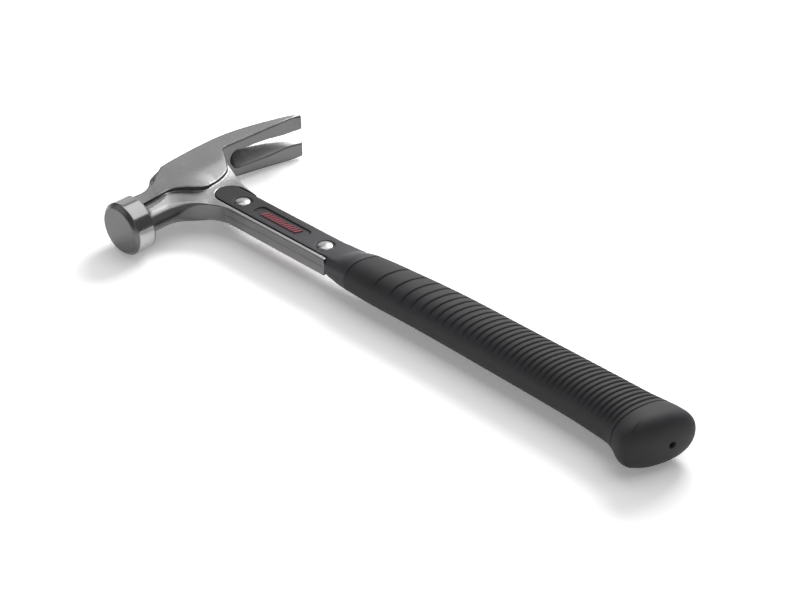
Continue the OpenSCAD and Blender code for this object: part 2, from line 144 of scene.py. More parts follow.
def arc(center: Pair, radius: float, start: float, end: float,
        count: int = 24) -> Array:
    """Points of an arc, its angles in degrees.

    Args:
        center: The arc's centre.
        radius: Its radius.
        start: Its first angle.
        end: Its last angle.
        count: Number of points.

    Returns:
        The points, one a row.
    """
    a = np.radians(np.linspace(start, end, count))
    return np.stack([center[0] + radius * np.cos(a),
                     center[1] + radius * np.sin(a)], axis=1)


def ease(value: Array, low: float, high: float) -> Array:
    """Rise smoothly from 0 at low to 1 at high."""
    t = np.clip((value - low) / (high - low), 0, 1)
    return t * t * (3 - 2 * t)


def blend(a: Array | float, b: Array | float, share: Array) -> Array:
    """Value that goes from a to b as the share goes from 0 to 1."""
    return a * (1 - share) + b * share


class Curve:
    """A smooth function through a few known values."""

    def __init__(self, knots: Path, steps: int = 12) -> None:
        """Sample the function.

        Args:
            knots: Pairs of place and value, in rising order of place.
            steps: Samples between two knots.
        """
        self.samples = smooth_path(knots, steps)

    def __call__(self, place: Array) -> Array:
        """Value at each place, held constant past the ends."""
        return np.interp(place, self.samples[:, 0], self.samples[:, 1])


# Fields

def fillet(a: Array, b: Array, r: float) -> Array:
    """Join two solids with a rounded inner corner of radius r.

    Args:
        a: Distance to one solid.
        b: Distance to the other.
        r: Radius of the rounding.

    Returns:
        Distance to the joined solid.
    """
    u = np.maximum(r - a, 0)
    v = np.maximum(r - b, 0)
    return np.maximum(r, np.minimum(a, b)) - np.sqrt(u * u + v * v)


def common(a: Array, b: Array, r: float) -> Array:
    """Keep what two solids share, with a rounded edge of radius r.

    Args:
        a: Distance to one solid.
        b: Distance to the other.
        r: Radius of the rounding.

    Returns:
        Distance to the shared solid.
    """
    u = np.maximum(r + a, 0)
    v = np.maximum(r + b, 0)
    return np.minimum(-r, np.maximum(a, b)) + np.sqrt(u * u + v * v)


def carve(a: Array, b: Array, r: float) -> Array:
    """Cut solid b out of solid a, with a rounded edge of radius r."""
    return common(a, -b, r)


class Outline:
    """Signed distance to a closed outline, read from a table."""

    def __init__(self, points: Array, pitch: float = 0.4,
                 margin: float = 12.0) -> None:
        """Measure the distance over the outline's own box.

        Args:
            points: Corners of the outline.
            pitch: Spacing of the table.
            margin: How far the table reaches past the outline.
        """
        points = np.asarray(points, float)
        self.low = points.min(0) - margin
        self.pitch = pitch
        count = np.ceil((points.max(0) + margin - self.low) / pitch).astype(int)
        x = self.low[0] + pitch * np.arange(count[0] + 1)[:, None]
        y = self.low[1] + pitch * np.arange(count[1] + 1)[None, :]
        near = np.full((count[0] + 1, count[1] + 1), np.inf)
        inside = np.zeros(near.shape, bool)
        for (ax, ay), (bx, by) in zip(points, np.roll(points, -1, axis=0)):
            ex, ey = bx - ax, by - ay
            size = ex * ex + ey * ey
            if size < 1e-12:
                continue
            t = np.clip(((x - ax) * ex + (y - ay) * ey) / size, 0, 1)
            near = np.minimum(near, (x - ax - t * ex) ** 2
                              + (y - ay - t * ey) ** 2)
            if by != ay:
                passes = (ay > y) != (by > y)
                inside ^= passes & (x < ex * (y - ay) / (by - ay) + ax)
        self.table = np.where(inside, -1, 1) * np.sqrt(near)

    def __call__(self, x: Array, y: Array) -> Array:
        """Signed distance at points, negative inside.

        Args:
            x: Place along the handle.
            y: Place towards the claws.

        Returns:
            The distance at each point.
        """
        x, y = np.broadcast_arrays(x, y)
        u = np.clip((x - self.low[0]) / self.pitch, 0,
                    self.table.shape[0] - 1.001)
        v = np.clip((y - self.low[1]) / self.pitch, 0,
                    self.table.shape[1] - 1.001)
        i, j = u.astype(int), v.astype(int)
        a, b = u - i, v - j
        t = self.table
        return blend(blend(t[i, j], t[i + 1, j], a),
                     blend(t[i, j + 1], t[i + 1, j + 1], a), b)


@dataclass
class Skin:
    """The surface of a field, as vertices, four-sided faces and normals."""

    points: Array
    faces: Array
    normals: Array

    def mirrored(self) -> "Skin":
        """The same surface on the other side of the middle plane.

        Returns:
            The mirrored surface.
        """
        flip = np.array([1, 1, -1])
        return Skin(self.points * flip, self.faces[:, ::-1],
                    self.normals * flip)


# The corners of a grid cell, the reach of the differences that give a slope
# and a normal, how often a point is moved onto the surface and how far at most.
CORNERS = [(i, j, k) for i in (0, 1) for j in (0, 1) for k in (0, 1)]
SLOPE_REACH = 0.02
NORMAL_REACH = 0.25
MOVES = 3
LONGEST_MOVE = 0.35
TINY = 1e-9


def gradient(level: Field, p: Array, reach: float) -> Array:
    """Slope of a field at points, by differences of the given reach.

    Args:
        level: The field.
        p: Points, one a row.
        reach: Half the span of each difference.

    Returns:
        The slope at each point.
    """
    out = np.empty_like(p)
    for axis in range(3):
        step = np.zeros(3)
        step[axis] = reach
        out[:, axis] = (level(*(p + step).T)
                        - level(*(p - step).T)) / (2 * reach)
    return out


def skin(level: Field, xs: Array, ys: Array, zs: Array) -> Skin:
    """Lay a mesh on the zero level of a field.

    Args:
        level: The field, negative inside the solid.
        xs: Grid places along X, which may be unevenly spaced.
        ys: Grid places along Y.
        zs: Grid places along Z.

    Returns:
        The surface, with each point moved onto the zero level.
    """
    value = np.broadcast_to(
        level(xs[:, None, None], ys[None, :, None], zs[None, None, :]),
        (len(xs), len(ys), len(zs)))
    solid = value < 0
    count = sum(
        solid[i:len(xs) - 1 + i, j:len(ys) - 1 + j,
              k:len(zs) - 1 + k].astype(np.int8) for i, j, k in CORNERS)
    cells = np.argwhere((count > 0) & (count < len(CORNERS)))
    ids = np.full(count.shape, -1, np.int64)
    ids[tuple(cells.T)] = np.arange(len(cells))

    corners = np.array(CORNERS)
    at = cells[:, None, :] + corners[None]
    v = value[at[..., 0], at[..., 1], at[..., 2]]
    place = np.stack([xs[at[..., 0]], ys[at[..., 1]], zs[at[..., 2]]], axis=-1)
    total = np.zeros((len(cells), 3))
    hits = np.zeros(len(cells))
    for a, b in combinations(range(len(CORNERS)), 2):
        if np.abs(corners[a] - corners[b]).sum() == 1:
            cross = (v[:, a] < 0) != (v[:, b] < 0)
            gap = np.where(cross, v[:, a] - v[:, b], 1)
            spot = blend(place[:, a], place[:, b], (v[:, a] / gap)[:, None])
            total += np.where(cross[:, None], spot, 0)
            hits += cross
    points = total / hits[:, None]

    faces = []
    for axis in range(3):
        u, w = (axis + 1) % 3, (axis + 2) % 3
        here = np.moveaxis(solid, (axis, u, w), (0, 1, 2))
        cell = np.moveaxis(ids, (axis, u, w), (0, 1, 2))
        turn = here[:-1, 1:-1, 1:-1] != here[1:, 1:-1, 1:-1]
        s, i, j = np.nonzero(turn)
        quad = np.stack([cell[s, i, j], cell[s, i + 1, j],
                         cell[s, i + 1, j + 1], cell[s, i, j + 1]], axis=1)
        out = here[s, i + 1, j + 1]
        faces.append(np.where(out[:, None], quad, quad[:, ::-1]))
    faces = np.vstack(faces)

    for _ in range(MOVES):
        slope = gradient(level, points, SLOPE_REACH)
        move = level(*points.T) / ((slope ** 2).sum(1) + TINY)
        step = slope * move[:, None]
        long = np.linalg.norm(step, axis=1)
        step *= np.minimum(1, LONGEST_MOVE / (long + TINY))[:, None]
        points = points - step
    normals = gradient(level, points, NORMAL_REACH)
    normals /= np.linalg.norm(normals, axis=1)[:, None] + TINY
    return Skin(points, faces, normals)


def spaced(*runs: Place) -> Array:
    """Grid places made of runs of start, end and spacing.

    Args:
        runs: Start, end and spacing of each run.

    Returns:
        The places, in rising order.
    """
    parts = [np.linspace(a, b, max(2, int(round((b - a) / s)) + 1))[:-1]
             for a, b, s in runs]
    return np.concatenate([*parts, [runs[-1][1]]])


# Objects

def new_piece(name: str, points: Array, faces: Sequence[Sequence[int]],
              material: bpy.types.Material) -> bpy.types.Object:
    """Make a smooth mesh object from points in metres.

    Args:
        name: Name of the piece.
        points: Vertices in the part's frame.
        faces: Vertex numbers of each face.
        material: Its finish.

    Returns:
        The linked object.
    """
    mesh = bpy.data.meshes.new(name)
    mesh.from_pydata([tuple(p) for p in points], [],
                     [tuple(int(i) for i in f) for f in faces])
    mesh.polygons.foreach_set("use_smooth", [True] * len(mesh.polygons))
    mesh.materials.append(material)
    mesh.update()
    piece = bpy.data.objects.new(name, mesh)
    bpy.context.scene.collection.objects.link(piece)
    return piece


def skin_piece(name: str, surface: Skin,
               material: bpy.types.Material) -> bpy.types.Object:
    """Make an object from a surface, with the field's own normals.

    Args:
        name: Name of the piece.
        surface: Its surface, in millimetres.
        material: The finish.

    Returns:
        The linked object.
    """
    piece = new_piece(name, to_part(surface.points), surface.faces, material)
    piece.data.normals_split_custom_set_from_vertices(
        [tuple(n) for n in surface.normals])
    return piece


def store(piece: bpy.types.Object, name: str, values: Array) -> None:
    """Keep a number or a vector on each vertex of a piece.

    Args:
        piece: The piece.
        name: Name of the attribute.
        values: A number or a row for each vertex.
    """
    values = np.asarray(values, float)
    kind, key = ("FLOAT_VECTOR", "vector") if values.ndim == 2 else (
        "FLOAT", "value")
    layer = piece.data.attributes.new(name, kind, "POINT")
    layer.data.foreach_set(key, values.astype(np.float32).ravel())


def finish_piece(piece: bpy.types.Object, slot: str, *nodes: str) -> None:
    """Ride a piece on the body and hide what it replaces.

    Args:
        piece: The piece.
        slot: Name of its material slot, which is not used.
        nodes: Solids that it stands in for.
    """
    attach(piece, BODY)
    if nodes:
        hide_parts(*nodes)
    LOG.info("%s: %d faces", piece.name, len(piece.data.polygons))


# Node trees

def math_method(operation: str, swapped: bool = False) -> Callable:
    """Make a method that adds one Math node on a socket and a value.

    Args:
        operation: The Math node's operation.
        swapped: Whether the value comes first.

    Returns:
        The method.
    """
    def method(self: "Socket", other: "Value") -> "Socket":
        """Add the node."""
        pair = (other, self) if swapped else (self, other)
        return self.tree.math(operation, *pair)
    return method


class Socket:
    """A node's output that can stand in sums."""

    def __init__(self, tree: "Tree", socket: bpy.types.NodeSocket) -> None:
        """Wrap a socket of a tree."""
        self.tree = tree
        self.socket = socket

    __add__ = __radd__ = math_method("ADD")
    __sub__ = math_method("SUBTRACT")
    __rsub__ = math_method("SUBTRACT", swapped=True)
    __mul__ = __rmul__ = math_method("MULTIPLY")
    __truediv__ = math_method("DIVIDE")
    __pow__ = math_method("POWER")


Value = Socket | float


class Tree:
    """A node tree that is written as expressions."""

    def __init__(self, tree: bpy.types.NodeTree) -> None:
        """Empty the tree."""
        self.tree = tree
        tree.nodes.clear()

    def node(self, kind: str, settings: dict | None = None,
             inputs: dict | None = None, output: int | str = 0) -> Socket:
        """Add any node.

        Args:
            kind: The node's type name.
            settings: Its properties, set before its sockets.
            inputs: Values or links, by socket name or number.
            output: The output that is wanted.

        Returns:
            That output.
        """
        made = self.tree.nodes.new(kind)
        for key, value in (settings or {}).items():
            setattr(made, key, value)
        for key, value in (inputs or {}).items():
            self.feed(made.inputs[key], value)
        return Socket(self, made.outputs[output])

    def feed(self, socket: bpy.types.NodeSocket, value: object) -> None:
        """Link or set one input.

        Args:
            socket: The input.
            value: A link or a plain value.
        """
        if isinstance(value, Socket):
            self.tree.links.new(value.socket, socket)
        else:
            socket.default_value = value

    def math(self, operation: str, *values: Value) -> Socket:
        """Add a Math node."""
        return self.node("ShaderNodeMath", {"operation": operation},
                         dict(enumerate(values)))

    def share(self, value: Value, low: Value, high: Value) -> Socket:
        """Smooth share of the way from low to high, kept in 0 to 1.

        Args:
            value: The value.
            low: Where the share is 0.
            high: Where it is 1.

        Returns:
            The share.
        """
        return self.node("ShaderNodeMapRange",
                         {"interpolation_type": "SMOOTHSTEP"},
                         {"Value": value, "From Min": low, "From Max": high})


class Shader(Tree):
    """The tree of one material."""

    def __init__(self, name: str) -> None:
        """Make the material.

        Args:
            name: Name of the material.
        """
        self.material = bpy.data.materials.new(name)
        self.material.use_nodes = True
        super().__init__(self.material.node_tree)
        self.place = self.node("ShaderNodeTexCoord", output="Object")

    def stretched(self, x: float, y: float, z: float) -> Socket:
        """Object coordinates scaled along each axis."""
        return self.node("ShaderNodeMapping", None,
                         {"Vector": self.place, "Scale": (x, y, z)})

    def noise(self, scale: float, detail: float = 3.0, rough: float = 0.55,
              where: Socket | None = None) -> Socket:
        """Soft noise in the part's own frame.

        Args:
            scale: Cells to the metre.
            detail: Number of finer layers.
            rough: Weight of the finer layers.
            where: Coordinates to use instead of the object's.

        Returns:
            The noise, about 0.5 on average.
        """
        return self.node("ShaderNodeTexNoise", None, {
            "Vector": where or self.place, "Scale": scale, "Detail": detail,
            "Roughness": rough})

    def attribute(self, name: str) -> Socket:
        """A number kept on the mesh."""
        return self.node("ShaderNodeAttribute", {"attribute_name": name},
                         output="Fac")

    def tint(self, share: Value, a: object, b: object) -> Socket:
        """Mix two colours."""
        return self.node("ShaderNodeMix", {"data_type": "RGBA"},
                         {0: share, 6: a, 7: b}, 2)

    def along(self, axis: str) -> Socket:
        """One of the object coordinates."""
        return self.node("ShaderNodeSeparateXYZ", None, {0: self.place}, axis)

    def bump(self, height: Value, distance: float, strength: float) -> Socket:
        """Turn a height, with its full depth in millimetres, to a normal.

        Args:
            height: Height of the surface, in units of the distance.
            distance: The unit of height, in millimetres.
            strength: Share of the effect.

        Returns:
            The normal.
        """
        return self.node("ShaderNodeBump", None, {
            "Height": height, "Distance": distance * MM,
            "Strength": strength})

    def close(self, **sockets: object) -> bpy.types.Material:
        """Add the surface shader and the output.

        Args:
            sockets: Inputs of the shader, by name in lower case.

        Returns:
            The material.
        """
        names = {k.replace("_", " ").title().replace("Ior", "IOR"): v
                 for k, v in sockets.items()}
        shader = self.node("ShaderNodeBsdfPrincipled", None, names)
        self.show(shader)
        return self.material

    def show(self, shader: Socket) -> None:
        """Link a shader to the material's output."""
        made = self.tree.nodes.new("ShaderNodeOutputMaterial")
        self.tree.links.new(shader.socket, made.inputs["Surface"])


Color = tuple[float, float, float, float]


def grey(level: float, blue: float = 1.0) -> Color:
    """A linear grey, slightly cooler where blue is above 1."""
    return (level, level, level * blue, 1.0)


def dusk(level: float) -> Color:
    """A linear grey with a faint violet cast."""
    return (level * 1.02, level * 0.97, level * 1.08, 1.0)


# Finishes

@dataclass(frozen=True)
class ForgedSteel:
    """Satin steel of a forging, polished on the poll, with painted shade in places.

    The land is where the poll's polished band lies along the part's Y, in
    metres.
    """

    tone: float = 0.335
    forged_and_shade_tone: float = 0.152
    bright: float = 0.42
    poll_tone: float = 0.44
    rough: float = 0.32
    poll_rough: float = 0.16
    land: Pair = (-0.0740, -0.0629)
    land_fade: float = 0.0006

    def material(self) -> bpy.types.Material:
        """Build the finish.

        Returns:
            The material.
        """
        s = Shader("forged_steel")
        axis = s.along("Y")
        low, high = self.land
        poll = (s.share(axis, low, low + self.land_fade)
                * (1 - s.share(axis, high - self.land_fade, high)))
        grain = s.noise(2600, 4, 0.6)
        speck = s.noise(620, 4, 0.75)
        streak = s.noise(60, 5, 0.65, s.stretched(1.2, 14, 14))
        cloud = s.noise(55, 3, 0.5)
        edge = s.attribute("edge")
        hollow = s.attribute("hollow")
        worn = s.attribute("worn")
        wear = s.share(worn + (cloud - 0.5) * 0.5, 0.25, 0.8)
        # Steep sides and the nail slot's walls are darker. This is partly the real split
        # between flats bright from grinding and sides left from the forge, and partly
        # painted shade.
        ground_and_side_shade = s.share(s.attribute("ground_and_side_shade"), 0.3, 0.85)
        base = s.tint(s.share(cloud, 0.3, 0.7), grey(self.tone, 1.01),
                      grey(self.tone * 1.12, 1.01))
        base = s.tint(ground_and_side_shade, grey(self.forged_and_shade_tone, 1.01), base)
        base = s.tint(s.share(speck, 0.35, 0.7) * 0.3, base,
                      grey(self.tone * 0.45))
        base = s.tint(wear * 0.25, base, grey(self.bright, 1.01))
        # Painted shade: edges are darkened, except the worn edges of the shank.
        base = s.tint((edge - worn) * 0.55, base, grey(self.forged_and_shade_tone, 1.01))
        base = s.tint(poll, base, grey(self.poll_tone, 1.01))
        # Painted shade in hollows, creases and the step under the cheeks.
        base = s.tint(hollow * 0.5, base, grey(self.tone * 0.3))
        rough = (self.rough + (streak - 0.5) * 0.14 + (grain - 0.5) * 0.1
                 + (speck - 0.5) * 0.22 + hollow * 0.12 + edge * 0.45 - worn * 0.33)
        rough = rough * (1 - poll) + (self.poll_rough
                                      + (grain - 0.5) * 0.05) * poll
        height = (grain * (0.5 - poll * 0.4) + streak * 0.6
                  + speck * (2.2 - poll * 2.1))
        return s.close(base_color=base, metallic=1.0, roughness=rough,
                       normal=s.bump(height, 0.035, 0.35))


@dataclass(frozen=True)
class MouldedNylon:
    """Dark semi-gloss moulded plastic, with painted light that makes it paler towards the
    grip.

    The last field is where that painted paler tone comes in along the part's X, in metres.
    """

    tone: float = 0.032
    rough: float = 0.42
    painted_light_ramp: Pair = (-0.16, -0.03)

    def material(self) -> bpy.types.Material:
        """Build the finish.

        Returns:
            The material.
        """
        s = Shader("shell_nylon")
        pebble = s.noise(1500, 3, 0.5)
        cloud = s.noise(40, 3, 0.5)
        scuff = s.share(s.noise(90, 5, 0.7, s.stretched(1, 5, 5)), 0.6, 0.8)
        # Painted light: the plates are darker near the head and paler towards the collar
        # and grip, mixed with random cloud.
        painted_light_ramp = s.share(s.along("X"), *self.painted_light_ramp) + (cloud - 0.5) * 0.5
        base = s.tint(painted_light_ramp, dusk(self.tone * 0.5), dusk(self.tone * 2.05))
        base = s.tint(scuff * 0.25, base, dusk(self.tone * 1.8))
        rough = self.rough + (cloud - 0.5) * 0.12 + scuff * 0.1
        return s.close(base_color=base, metallic=0.0, roughness=rough,
                       specular_ior_level=0.35,
                       normal=s.bump(pebble, 0.05, 0.35))


@dataclass(frozen=True)
class GripRubber:
    """Matt rubber, with painted shade in its grooves, and paler where hands rub it."""

    tone: float = 0.035
    rough: float = 0.66

    def material(self) -> bpy.types.Material:
        """Build the finish.

        Returns:
            The material.
        """
        s = Shader("grip_rubber")
        fine = s.noise(1900, 4, 0.6)
        cloud = s.noise(35, 3, 0.55)
        groove = s.attribute("groove")
        base = s.tint(s.share(cloud, 0.3, 0.7), dusk(self.tone * 0.9),
                      dusk(self.tone * 1.15))
        # Painted shade in the grooves.
        base = s.tint(groove * 0.5, base, grey(self.tone * 0.35))
        rough = self.rough + (cloud - 0.5) * 0.12 + groove * 0.15
        return s.close(base_color=base, metallic=0.0, roughness=rough,
                       normal=s.bump(fine, 0.06, 0.4))


@dataclass(frozen=True)
class PolishedSteel:
    """Bright rivet steel with fine turning marks."""

    name: str = "rivet_steel"
    tone: float = 0.54
    rough: float = 0.27

    def material(self) -> bpy.types.Material:
        """Build the finish.

        Returns:
            The material.
        """
        s = Shader(self.name)
        mark = s.noise(900, 4, 0.6)
        smear = s.noise(160, 3, 0.5)
        base = s.tint(s.share(smear, 0.3, 0.7), grey(self.tone * 0.92),
                      grey(self.tone))
        rough = self.rough + (smear - 0.5) * 0.1 + (mark - 0.5) * 0.05
        return s.close(base_color=base, metallic=1.0, roughness=rough,
                       normal=s.bump(mark, 0.03, 0.3))


@dataclass(frozen=True)
class InlayRed:
    """Dull red moulded inlay."""

    color: Color = (0.27, 0.028, 0.052, 1.0)
    worn: Color = (0.17, 0.035, 0.05, 1.0)

    def material(self) -> bpy.types.Material:
        """Build the finish.

        Returns:
            The material.
        """
        s = Shader("badge_red")
        cloud = s.noise(300, 4, 0.6)
        base = s.tint(s.share(cloud, 0.35, 0.75), self.color, self.worn)
        return s.close(base_color=base, metallic=0.0,
                       roughness=0.5 + (cloud - 0.5) * 0.2,
                       normal=s.bump(s.noise(1800, 3, 0.5), 0.04, 0.3))


# Head

def bored(solid: Array, x: Array, y: Array) -> Array:
    """Drill the clearance holes of the rivets and the cross pins.

    Args:
        solid: Distance to the solid so far.
        x: Place along the handle.
        y: Place towards the claws.

    Returns:
        Distance to the drilled solid.
    """
    for places, radius in ((RIVETS_X, RIVET_BORE), (PINS_X, PIN_BORE)):
        for place in places:
            solid = np.maximum(solid, radius - np.hypot(x - place, y))
    return solid


@dataclass
class SidePlate:
    """Outline of a side plate, shared by the pocket and the shell."""

    start: float = 12.6
    center: float = 1.55
    half: float = 9.5

    def outline(self, x: Array, y: Array, gap: float) -> Array:
        """Distance to the outline grown by a gap.

        Args:
            x: Place along the handle.
            y: Place towards the claws.
            gap: How far the outline is grown.

        Returns:
            Signed distance, negative inside.
        """
        middle = self.start + self.half
        off = y - self.center
        return np.where(x > middle, np.abs(off),
                        np.hypot(x - middle, off)) - self.half - gap


PLATE = SidePlate()


@dataclass
class HeadForging:
    """Poll, neck, cheeks, claws, T-section shank and tang in one forging.

    A field that ends in _fade holds the two values between which a form or a
    finish comes in or goes out. One that ends in _edge or _fillet is a
    rounding radius.
    The crown, top, tip, under and cheek run round the head's outline from the
    poll and back, and the last fields steer the finish: the wear, and painted
    shade on edges, in hollows and partly on steep sides.
    """

    pitch: float = 0.6

    poll_r: float = 16.4
    face: float = -FACE_REACH
    chamfer: float = 2.45
    land_end: float = -51.4
    face_edge: float = 0.3
    chamfer_edge: float = 0.5
    land_edge: float = 0.8
    poll_fillet: float = 1.4

    crown: Path = (
        (-13.0, -51.0), (-12.6, -43.0), (-12.2, -38.5), (-13.2, -34.0),
        (-15.6, -30.6), (-19.0, -27.4), (-22.4, -24.1), (-23.6, -21.8),
        (-24.3, -18.6), (-24.4, -16.2), (-25.4, -14.3), (-26.7, -12.4))
    top: Path = (
        (-27.0, -11.8), (-28.0, -2.0), (-28.6, 8.1), (-28.9, 18.7),
        (-28.5, 32.9), (-26.3, 45.7), (-22.7, 57.2), (-18.3, 68.6),
        (-13.8, 79.4), (-11.4, 84.8))
    tip: Path = ((-10.4, 87.1), (-8.2, 87.1), (-7.9, 86.4))
    under: Path = (
        (-8.2, 84.8), (-9.7, 78.0), (-10.8, 70.2), (-12.8, 56.1),
        (-14.2, 44.2), (-15.8, 32.0))
    cheek: Path = (
        (-15.5, 27.2), (-6.8, 22.2), (-0.8, 18.2), (3.6, 14.6), (6.6, 7.8),
        (8.0, -0.2), (8.9, -7.0), (6.4, -12.8), (2.6, -16.6), (-1.5, -21.6),
        (-2.6, -26.6), (-2.6, -34.0), (-2.2, -51.0))
    half_thickness: Path = (
        (-49.7, 9.0), (-41.0, 9.1), (-26.9, 9.7), (-14.7, 10.3), (-1.0, 10.8),
        (15.0, 11.4), (30.0, 12.0), (44.5, 12.8), (59.7, 13.8), (74.9, 14.8),
        (88.6, 15.25))
    top_end: Pair = (88.0, -8.7)
    cheek_edge: float = 0.75
    tip_edge: float = 1.3
    tip_fade: Pair = (80.0, 86.0)
    roll_slope: float = 0.1
    roll_from: float = -6.5
    roll_soft: float = 3.0
    roll_in_fade: Pair = (-16.0, 4.0)
    roll_out_fade: Pair = (30.0, 55.0)

    front_way: Pair = (0.8, 0.6)
    lip_at: Pair = (-18.0, -23.0)
    lip_fade: Pair = (-34.0, -27.0)
    lip_slope: float = 0.52
    lip_scale: float = 0.887
    lip_edge: float = 0.4
    scoop_at: Place = (-18.6, -25.4, 9.3)
    scoop_size: Place = (3.2, 1.2, 1.8)
    scoop_mean: float = 1.3
    scoop_edge: float = 0.3

    neck_r: float = 12.9
    neck_drop: float = 0.58
    neck_end: float = -52.0
    throat_r: float = 24.0
    rear_r: float = 107.0
    rear_from: float = 45.0
    rear_turn: float = -122.5
    rear_to: float = -14.0
    band_back: Path = ((-15.5, 26.0), (-10.0, -15.0), (-5.8, -52.0))
    band_thickness: Path = (
        (-40.0, 11.0), (-15.9, 10.8), (-2.9, 8.7), (4.0, 7.4), (9.0, 6.45),
        (13.0, 5.9), (17.0, 5.62), (21.0, 5.5), (40.0, 5.5))
    band_front: Path = (
        (-40.0, 7.9), (-2.9, 7.4), (4.0, 7.2), (9.0, 7.0), (13.0, 6.75),
        (17.0, 6.3), (21.0, 5.7), (25.0, 5.5), (40.0, 5.5))
    front_fade: Pair = (5.0, 17.0)
    neck_fade: Pair = (-36.0, -20.0)
    facet_from: float = 2.0
    facet_height: float = 7.7
    facet_slope: float = 0.24
    step: float = 1.6
    step_fade: Pair = (8.0, 20.0)
    band_edge: float = 0.8
    bevel_way: Pair = (0.8, 0.6)
    bevel_start: float = 0.26
    bevel_rise: float = 4.0
    bevel_fade: Pair = (-36.0, -14.0)
    bevel_edge: float = 1.2
    cheek_fillet: float = 0.5

    slot_crown: Path = (
        (43.0, 0.3), (52.0, 0.5), (60.0, 0.85), (68.0, 1.35), (76.0, 2.25),
        (84.0, 3.65), (88.0, 4.4))
    slot_under: Path = (
        (33.0, 5.9), (60.0, 6.0), (68.0, 5.4), (76.0, 4.85), (88.0, 5.1))
    slot_root: Pair = (43.0, 33.5)
    slot_r: Pair = (0.4, 6.4)
    slot_reach: Pair = (-0.1, 1.15)
    slot_scale: float = 0.9
    slot_edge: float = 0.3
    under_edge: float = 0.4
    under_fade: Pair = (0.3, 1.0)

    starter_r: float = 2.2
    starter_floor: float = -18.4
    starter_stop: float = -14.6
    starter_edge: float = 0.3
    magnet_r: float = 2.65
    magnet_y: float = -19.8
    magnet_deep: float = -14.8
    magnet_edge: float = 0.15

    shank_half: float = 10.9
    shank_z: float = 5.5
    strap_end: float = 114.6
    pocket_gap: float = 0.15
    pocket_edge: float = 0.2
    dent_from: float = 50.6
    dent_spread: float = 16.0
    dent_reach: float = 12.0
    dent_half: float = 1.8
    dent_deep: float = 0.6
    dent_off: float = 1.0
    dent_edge: float = 0.5
    tang_half: float = 7.5
    tang_end: float = 305.0
    tang_lap: float = 4.0
    tang_edge: float = 0.2

    near_reach: float = 0.9
    near_gain: float = 1.4
    far_reach: float = 2.2
    far_gain: float = 1.2
    edge_reach: float = 2.0
    edge_gain: float = 2.2
    edge_least: float = 0.2
    claw_edge_cut: float = 0.8
    wall_share: float = 0.5
    slot_ground_and_shade_share: float = 0.72
    wall_fade: Pair = (0.4, 1.6)
    slot_fade: Pair = (1.5, 3.0)
    claw_fade: Pair = (66.0, 82.0)
    rim_fade: Pair = (0.5, 2.5)
    shank_fade: Pair = (14.0, 24.0)
    worn_fade: Pair = (8.0, 22.0)

    def __post_init__(self) -> None:
        """Prepare the outlines and thickness curves."""
        self.side = Outline(np.vstack([
            smooth_path(self.crown, 4), smooth_path(self.top, 6), self.tip,
            smooth_path(self.under, 6), smooth_path(self.cheek, 6)]))
        throat = self.neck_r - self.neck_drop
        front = arc((throat + self.throat_r, -self.shank_half - self.throat_r),
                    self.throat_r, 180, 90)
        rear = arc((self.rear_from, self.shank_half + self.rear_r),
                   self.rear_r, -90, self.rear_turn)
        rear = rear[rear[:, 0] > self.rear_to]
        self.band = Outline(np.vstack([
            [(throat, self.neck_end)], front,
            [(self.strap_end, -self.shank_half)],
            [(self.strap_end, self.shank_half)], rear, self.band_back]))
        self.thick = Curve(self.half_thickness)
        self.band_thick = Curve(self.band_thickness)
        self.band_flat = Curve(self.band_front)
        self.crown_line = Curve([(y, x) for x, y in self.top] + [self.top_end])
        self.under_line = Curve([(y, x) for x, y in reversed(self.under)])
        self.crown_gap = Curve(self.slot_crown)
        self.under_gap = Curve(self.slot_under)

    def poll(self, x: Array, y: Array, z: Array) -> Array:
        """Round poll with its chamfer and shoulder.

        Args:
            x: Place along the handle.
            y: Place towards the claws.
            z: Height above the middle plane.

        Returns:
            Signed distance, negative inside.
        """
        rho = np.hypot(x, z)
        cone = (rho - self.poll_r + self.chamfer - (y - self.face)) / math.sqrt(2)
        poll = common(rho - self.poll_r, self.face - y, self.face_edge)
        poll = common(poll, cone, self.chamfer_edge)
        return common(poll, y - self.land_end, self.land_edge)

    def cheeks(self, x: Array, y: Array, z: Array) -> Array:
        """Cheeks and claws, with the bevel and the scoop of the crown.

        Args:
            x: Place along the handle.
            y: Place towards the claws.
            z: Height above the middle plane.

        Returns:
            Signed distance, negative inside.
        """
        side = z - self.thick(y)
        roll = self.roll_slope * (
            np.hypot(x - self.roll_from, self.roll_soft) + x - self.roll_from
        ) * (ease(y, *self.roll_in_fade) * (1 - ease(y, *self.roll_out_fade)))
        head = common(self.side(x, y), side + roll,
                      self.cheek_edge + self.tip_edge * ease(y, *self.tip_fade))
        a, b = self.front_way
        out = (a * (self.lip_at[0] - x)
               + b * (self.lip_at[1] - y)) * ease(y, *self.lip_fade)
        head = common(head, (side + self.lip_slope * out) * self.lip_scale,
                      self.lip_edge)
        u, v, w = (p - at for p, at in zip((x, y, z), self.scoop_at))
        ways = (a * v - b * u, -a * u - b * v, w)
        size = sum((way / half) ** 2 for way, half in zip(ways, self.scoop_size))
        return carve(head, self.scoop_mean * (np.sqrt(size) - 1),
                     self.scoop_edge)

    def strap(self, x: Array, y: Array, z: Array) -> Array:
        """Neck and front strap, with the bevel under the neck.

        Args:
            x: Place along the handle.
            y: Place towards the claws.
            z: Height above the middle plane.

        Returns:
            Signed distance, negative inside.
        """
        near = ease(y, *self.neck_fade)
        front = ease(-y, *self.front_fade)
        facet = self.facet_height - self.facet_slope * (x - self.facet_from)
        lift = blend(self.band_thick(x), self.band_flat(x), front)
        lift = blend(facet, lift, near)
        lift = np.minimum(lift, self.thick(y) - self.step
                          + self.step * ease(y, *self.step_fade))
        outline = self.band(x, y)
        band = common(outline, z - lift, self.band_edge * (2 - near))
        bevel = self.bevel_start + self.bevel_rise * ease(y, *self.bevel_fade)
        a, b = self.bevel_way
        return common(band, a * outline + b * z - bevel, self.bevel_edge)

